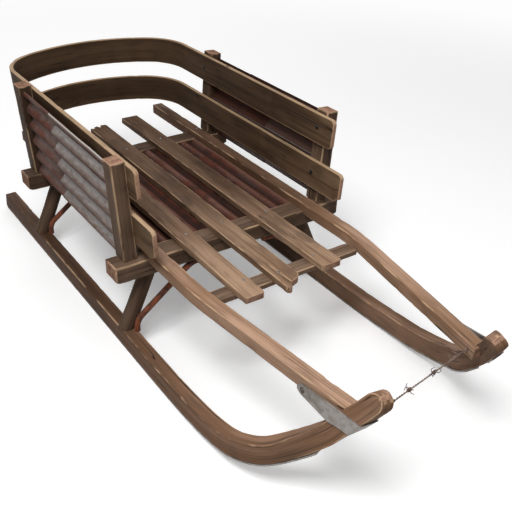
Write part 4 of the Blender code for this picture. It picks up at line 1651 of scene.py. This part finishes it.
@dataclass
class TipWire:
    """Taut wire between the tips: two twisted strands, three barbs, and a staple at each end."""

    finishes: Finishes
    strand_radius: float = 0.0011
    # Length of a whole turn of the strands, and points that draw a turn
    lay: float = 0.020
    turn_points: int = 12
    # Shares of the wire's length at which the barbs sit
    barbs: tuple[float, ...] = (0.20, 0.52, 0.80)
    # Each barb is two short wires wound round the strands, one to each side of its middle
    barb_aside: float = 0.0035
    barb_half: float = 0.004
    barb_turns: float = 2.5
    barb_length: float = 0.011
    barb_radius: float = 0.0009
    # Share of a barb wire's winding, at each end, over which it leaves the strands
    barb_leaving: float = 0.2
    staple_radius: float = 0.0012
    # How far a staple's bow goes round the wire's end, half its height, and its legs' length
    staple_bow: float = 0.006
    staple_half: float = 0.0048
    staple_leg: float = 0.004
    staple_steps: int = 8

    def ends(self) -> tuple[Vector, Vector]:
        """Find the wire's two ends, from the frame's own wire.

        Returns:
            The left end, which is the higher one, and the right end.
        """
        low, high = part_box("tip_wire")
        return Vector((low.x, low.y, high.z)), Vector((high.x, high.y, low.z))

    def strand(
        self, start: Vector, end: Vector, turns: float, phase: float, radius: float, off: float
    ) -> list[Vector]:
        """Draw a helix round a straight line.

        Args:
            start: The line's start.
            end: The line's end.
            turns: Number of turns.
            phase: Angle at the start.
            radius: Distance from the line at the middle of a turn.
            off: Extra distance at the ends, for a barb's points.

        Returns:
            The helix's points.
        """
        along = (end - start).normalized()
        across = along.cross(Vector((0, 0, 1))).normalized()
        up = across.cross(along)
        count = max(8, int(turns * self.turn_points))
        points = []
        for i in range(count + 1):
            share = i / count
            angle = phase + 2 * math.pi * turns * share
            leaving = max(0.0, abs(2 * share - 1) - (1 - self.barb_leaving)) / self.barb_leaving
            away = across * math.cos(angle) + up * math.sin(angle)
            points.append(start.lerp(end, share) + away * (radius + off * leaving))
        return points

    def tube(self, lines: list[list[Vector]], radius: float, name: str) -> bpy.types.Object:
        """Make round wires along lines, as one mesh piece.

        Args:
            lines: The lines' points.
            radius: The wires' radius.
            name: The piece's name.

        Returns:
            The piece.
        """
        curve = bpy.data.curves.new(name, "CURVE")
        curve.dimensions = "3D"
        curve.bevel_depth = radius
        curve.bevel_resolution = 2
        curve.use_fill_caps = True
        for line in lines:
            spline = curve.splines.new("POLY")
            spline.points.add(len(line) - 1)
            for knot, point in zip(spline.points, line):
                knot.co = (*point, 1.0)
        guide = bpy.data.objects.new(name + "_guide", curve)
        bpy.context.scene.collection.objects.link(guide)
        ready = guide.evaluated_get(bpy.context.evaluated_depsgraph_get())
        made = bpy.data.meshes.new_from_object(ready)
        bpy.data.objects.remove(guide, do_unlink=True)
        bpy.data.curves.remove(curve)
        bm = bmesh.new()
        bm.from_mesh(made)
        bpy.data.meshes.remove(made)
        for face in bm.faces:
            face.smooth = True
        return finished_object(bm, name, (self.finishes.wire,))

    def build(self) -> None:
        """Make the twisted wire, its barbs and its staples."""
        start, end = self.ends()
        turns = (end - start).length / self.lay
        radius = self.strand_radius
        strands = [self.strand(start, end, turns, phase, radius, 0.0) for phase in (0.0, math.pi)]
        mount(self.tube(strands, radius, "tip_wire_twisted"), "wire", "tip_wire")
        along = (end - start).normalized()
        barbs = []
        for i, share in enumerate(self.barbs):
            middle = start.lerp(end, share)
            # Each wire starts at an angle of its own, so that no two barbs look alike
            for aside, phase in ((-self.barb_aside, 0.6 + i), (self.barb_aside, 2.3 + 1.7 * i)):
                near = middle + along * (aside - self.barb_half)
                far = middle + along * (aside + self.barb_half)
                barbs.append(
                    self.strand(near, far, self.barb_turns, phase, 3 * radius, self.barb_length)
                )
        mount(self.tube(barbs, self.barb_radius, "tip_wire_barbs"), "wire")
        staples = []
        rise = Vector((0, 0, self.staple_half))
        for eye, outward in ((start, Vector((-1, 0, 0))), (end, Vector((1, 0, 0)))):
            bow = []
            for step in range(self.staple_steps + 1):
                angle = math.pi * step / self.staple_steps
                inner = eye - outward * self.staple_bow * math.sin(angle)
                bow.append(inner + rise * math.cos(angle))
            leg = outward * self.staple_leg
            staples.append([bow[0] + leg, *bow, bow[-1] + leg])
        mount(self.tube(staples, self.staple_radius, "wire_staples"), "wire")


def dress_plain_nodes(frame: dict[str, Any], finishes: Finishes) -> None:
    """Give the frame's own strips and rods their finishes.

    Args:
        frame: The loaded frame.
        finishes: The sled's finishes.
    """
    for name, node in frame["nodes"].items():
        if name.startswith(("runner_shoe", "tip_strap")):
            node.material_slots[0].material = finishes.strip
        elif name.startswith("brace"):
            node.material_slots[0].material = finishes.rod


@dataclass
class Studio:
    """Camera, pale floor and soft lights."""

    shift: float
    lens: float = 52.26
    sensor: float = 36.0
    azimuth: float = math.radians(-35.93)
    elevation: float = math.radians(32.17)
    roll: float = math.radians(2.2)
    position: tuple[float, float, float] = (-1.0694, -1.9544, 1.4131)
    floor_half: float = 14.0
    floor_drop: float = 0.0004
    # The floor's and the world's colour where they are seen
    pale: str = "f4f4f4"
    # The floor's colour in the light that it gives back to the sled
    shaded: str = "6a6a6a"
    # Distances between which the floor gives way to an even white, and its glow at both
    white_from: float = 1.3
    white_to: float = 4.5
    near_glow: float = 0.27
    far_glow: float = 0.93
    # The world's strength as a light on the sled
    world_level: float = 0.28
    aim_z: float = 0.25
    # name, position, width in metres, power in watts
    lamps: tuple[tuple[str, tuple[float, float, float], float, float], ...] = (
        ("key", (-1.5, -1.2, 3.2), 1.3, 88.0),
        ("fill", (2.6, -1.2, 2.6), 2.4, 12.0),
        ("rear", (0.8, 3.2, 2.6), 2.4, 34.0),
    )

    def build_camera(self) -> None:
        """Set the camera from its solved angles."""
        back = Vector((
            math.sin(self.azimuth) * math.cos(self.elevation),
            -math.cos(self.azimuth) * math.cos(self.elevation),
            math.sin(self.elevation),
        ))
        level = Vector((0, 0, 1)).cross(back).normalized()
        up = back.cross(level)
        right = level * math.cos(self.roll) + up * math.sin(self.roll)
        true_up = up * math.cos(self.roll) - level * math.sin(self.roll)
        data = bpy.data.cameras.new("camera")
        data.lens = self.lens
        data.sensor_width = self.sensor
        data.sensor_fit = "HORIZONTAL"
        camera = bpy.data.objects.new("camera", data)
        place = Matrix((right, true_up, back)).transposed().to_4x4()
        place.translation = Vector(self.position) + Vector((0, self.shift, 0))
        camera.matrix_world = place
        bpy.context.scene.collection.objects.link(camera)
        bpy.context.scene.camera = camera

    def seen(self, tree: bpy.types.NodeTree) -> bpy.types.NodeSocket:
        """Tell rays that show a surface from those that light the sled.

        Args:
            tree: The node tree that asks.

        Returns:
            1 for rays from the camera, from mirrors or through glass, and 0 for the others.
        """
        direct = add_node(tree, "LightPath", {}, "Is Camera Ray")
        mirrored = add_node(tree, "LightPath", {}, "Is Glossy Ray")
        through = add_node(tree, "LightPath", {}, "Is Transmission Ray")
        direct = add_node(tree, "Math", {0: direct, 1: mirrored}, operation="MAXIMUM")
        return add_node(tree, "Math", {0: direct, 1: through}, operation="MAXIMUM")

    def build_floor(self) -> None:
        """Lay the pale floor: near white where it is seen, darker in the light it gives back."""
        bm = bmesh.new()
        bmesh.ops.create_grid(bm, x_segments=8, y_segments=8, size=self.floor_half)
        bmesh.ops.translate(bm, vec=(0, 0, -self.floor_drop), verts=bm.verts)
        material, tree, shader = new_material("pale_floor")
        seen = self.seen(tree)
        where = add_node(tree, "TexCoord", {}, "Object")
        reach = add_node(tree, "VectorMath", {0: where}, "Value", operation="LENGTH")
        far = add_node(
            tree, "MapRange",
            {"Value": reach, "From Min": self.white_from, "From Max": self.white_to},
            **SMOOTH,
        )
        shown = add_node(
            tree, "Mix",
            {SHARE: far, FIRST: linear(self.pale), SECOND: linear("000000")},
            MIXED, **TINTS,
        )
        colour = add_node(
            tree, "Mix",
            {SHARE: seen, FIRST: linear(self.shaded), SECOND: shown},
            MIXED, **TINTS,
        )
        tree.links.new(colour, shader.inputs["Base Color"])
        glow = add_node(
            tree, "MapRange", {"Value": far, "To Min": self.near_glow, "To Max": self.far_glow}
        )
        glow = add_node(tree, "Math", {0: glow, 1: seen}, operation="MULTIPLY")
        tree.links.new(glow, shader.inputs["Emission Strength"])
        shader.inputs["Emission Color"].default_value = linear("ffffff")
        shader.inputs["Roughness"].default_value = 0.9
        finished_object(bm, "floor", (material,))

    def build_lights(self) -> None:
        """Hang the soft lights and set the world's level."""
        for name, position, width, power in self.lamps:
            data = bpy.data.lights.new(name, "AREA")
            data.size = width
            data.energy = power
            lamp = bpy.data.objects.new(name, data)
            lamp.location = position
            aim = Vector((0, 0, self.aim_z)) - Vector(position)
            lamp.rotation_euler = aim.to_track_quat("-Z", "Y").to_euler()
            bpy.context.scene.collection.objects.link(lamp)
        world = bpy.data.worlds.new("studio")
        world.use_nodes = True
        tree = world.node_tree
        background = tree.nodes["Background"]
        background.inputs["Color"].default_value = linear(self.pale)
        level = add_node(
            tree, "MapRange", {"Value": self.seen(tree), "To Min": self.world_level, "To Max": 1.0}
        )
        tree.links.new(level, background.inputs["Strength"])
        bpy.context.scene.world = world

    def build(self) -> None:
        """Build the whole studio."""
        self.build_camera()
        self.build_floor()
        self.build_lights()
        bpy.context.scene.view_settings.view_transform = "Standard"


def main() -> None:
    """Build the studio, then every sub-assembly of the sled."""
    logging.basicConfig(level=logging.INFO, format="%(name)s: %(message)s")
    for data in list(bpy.data.objects):
        bpy.data.objects.remove(data)
    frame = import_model()
    low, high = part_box("beam_front")
    shift = (low.y + high.y) / 2 + POST_Y - BEAM_BEHIND_POST
    Studio(shift).build()
    finishes = Finishes()
    dress_plain_nodes(frame, finishes)
    Runners(finishes, shift).build()
    Shafts(finishes, shift).build()
    Underframe(finishes, shift).build()
    Deck(finishes, shift).build()
    Posts(finishes, shift).build()
    BowRails(finishes, shift).build()
    Sheets(finishes, shift).build()
    Fasteners(finishes, shift).build()
    TipWire(finishes).build()


if __name__ == "__main__":
    main()
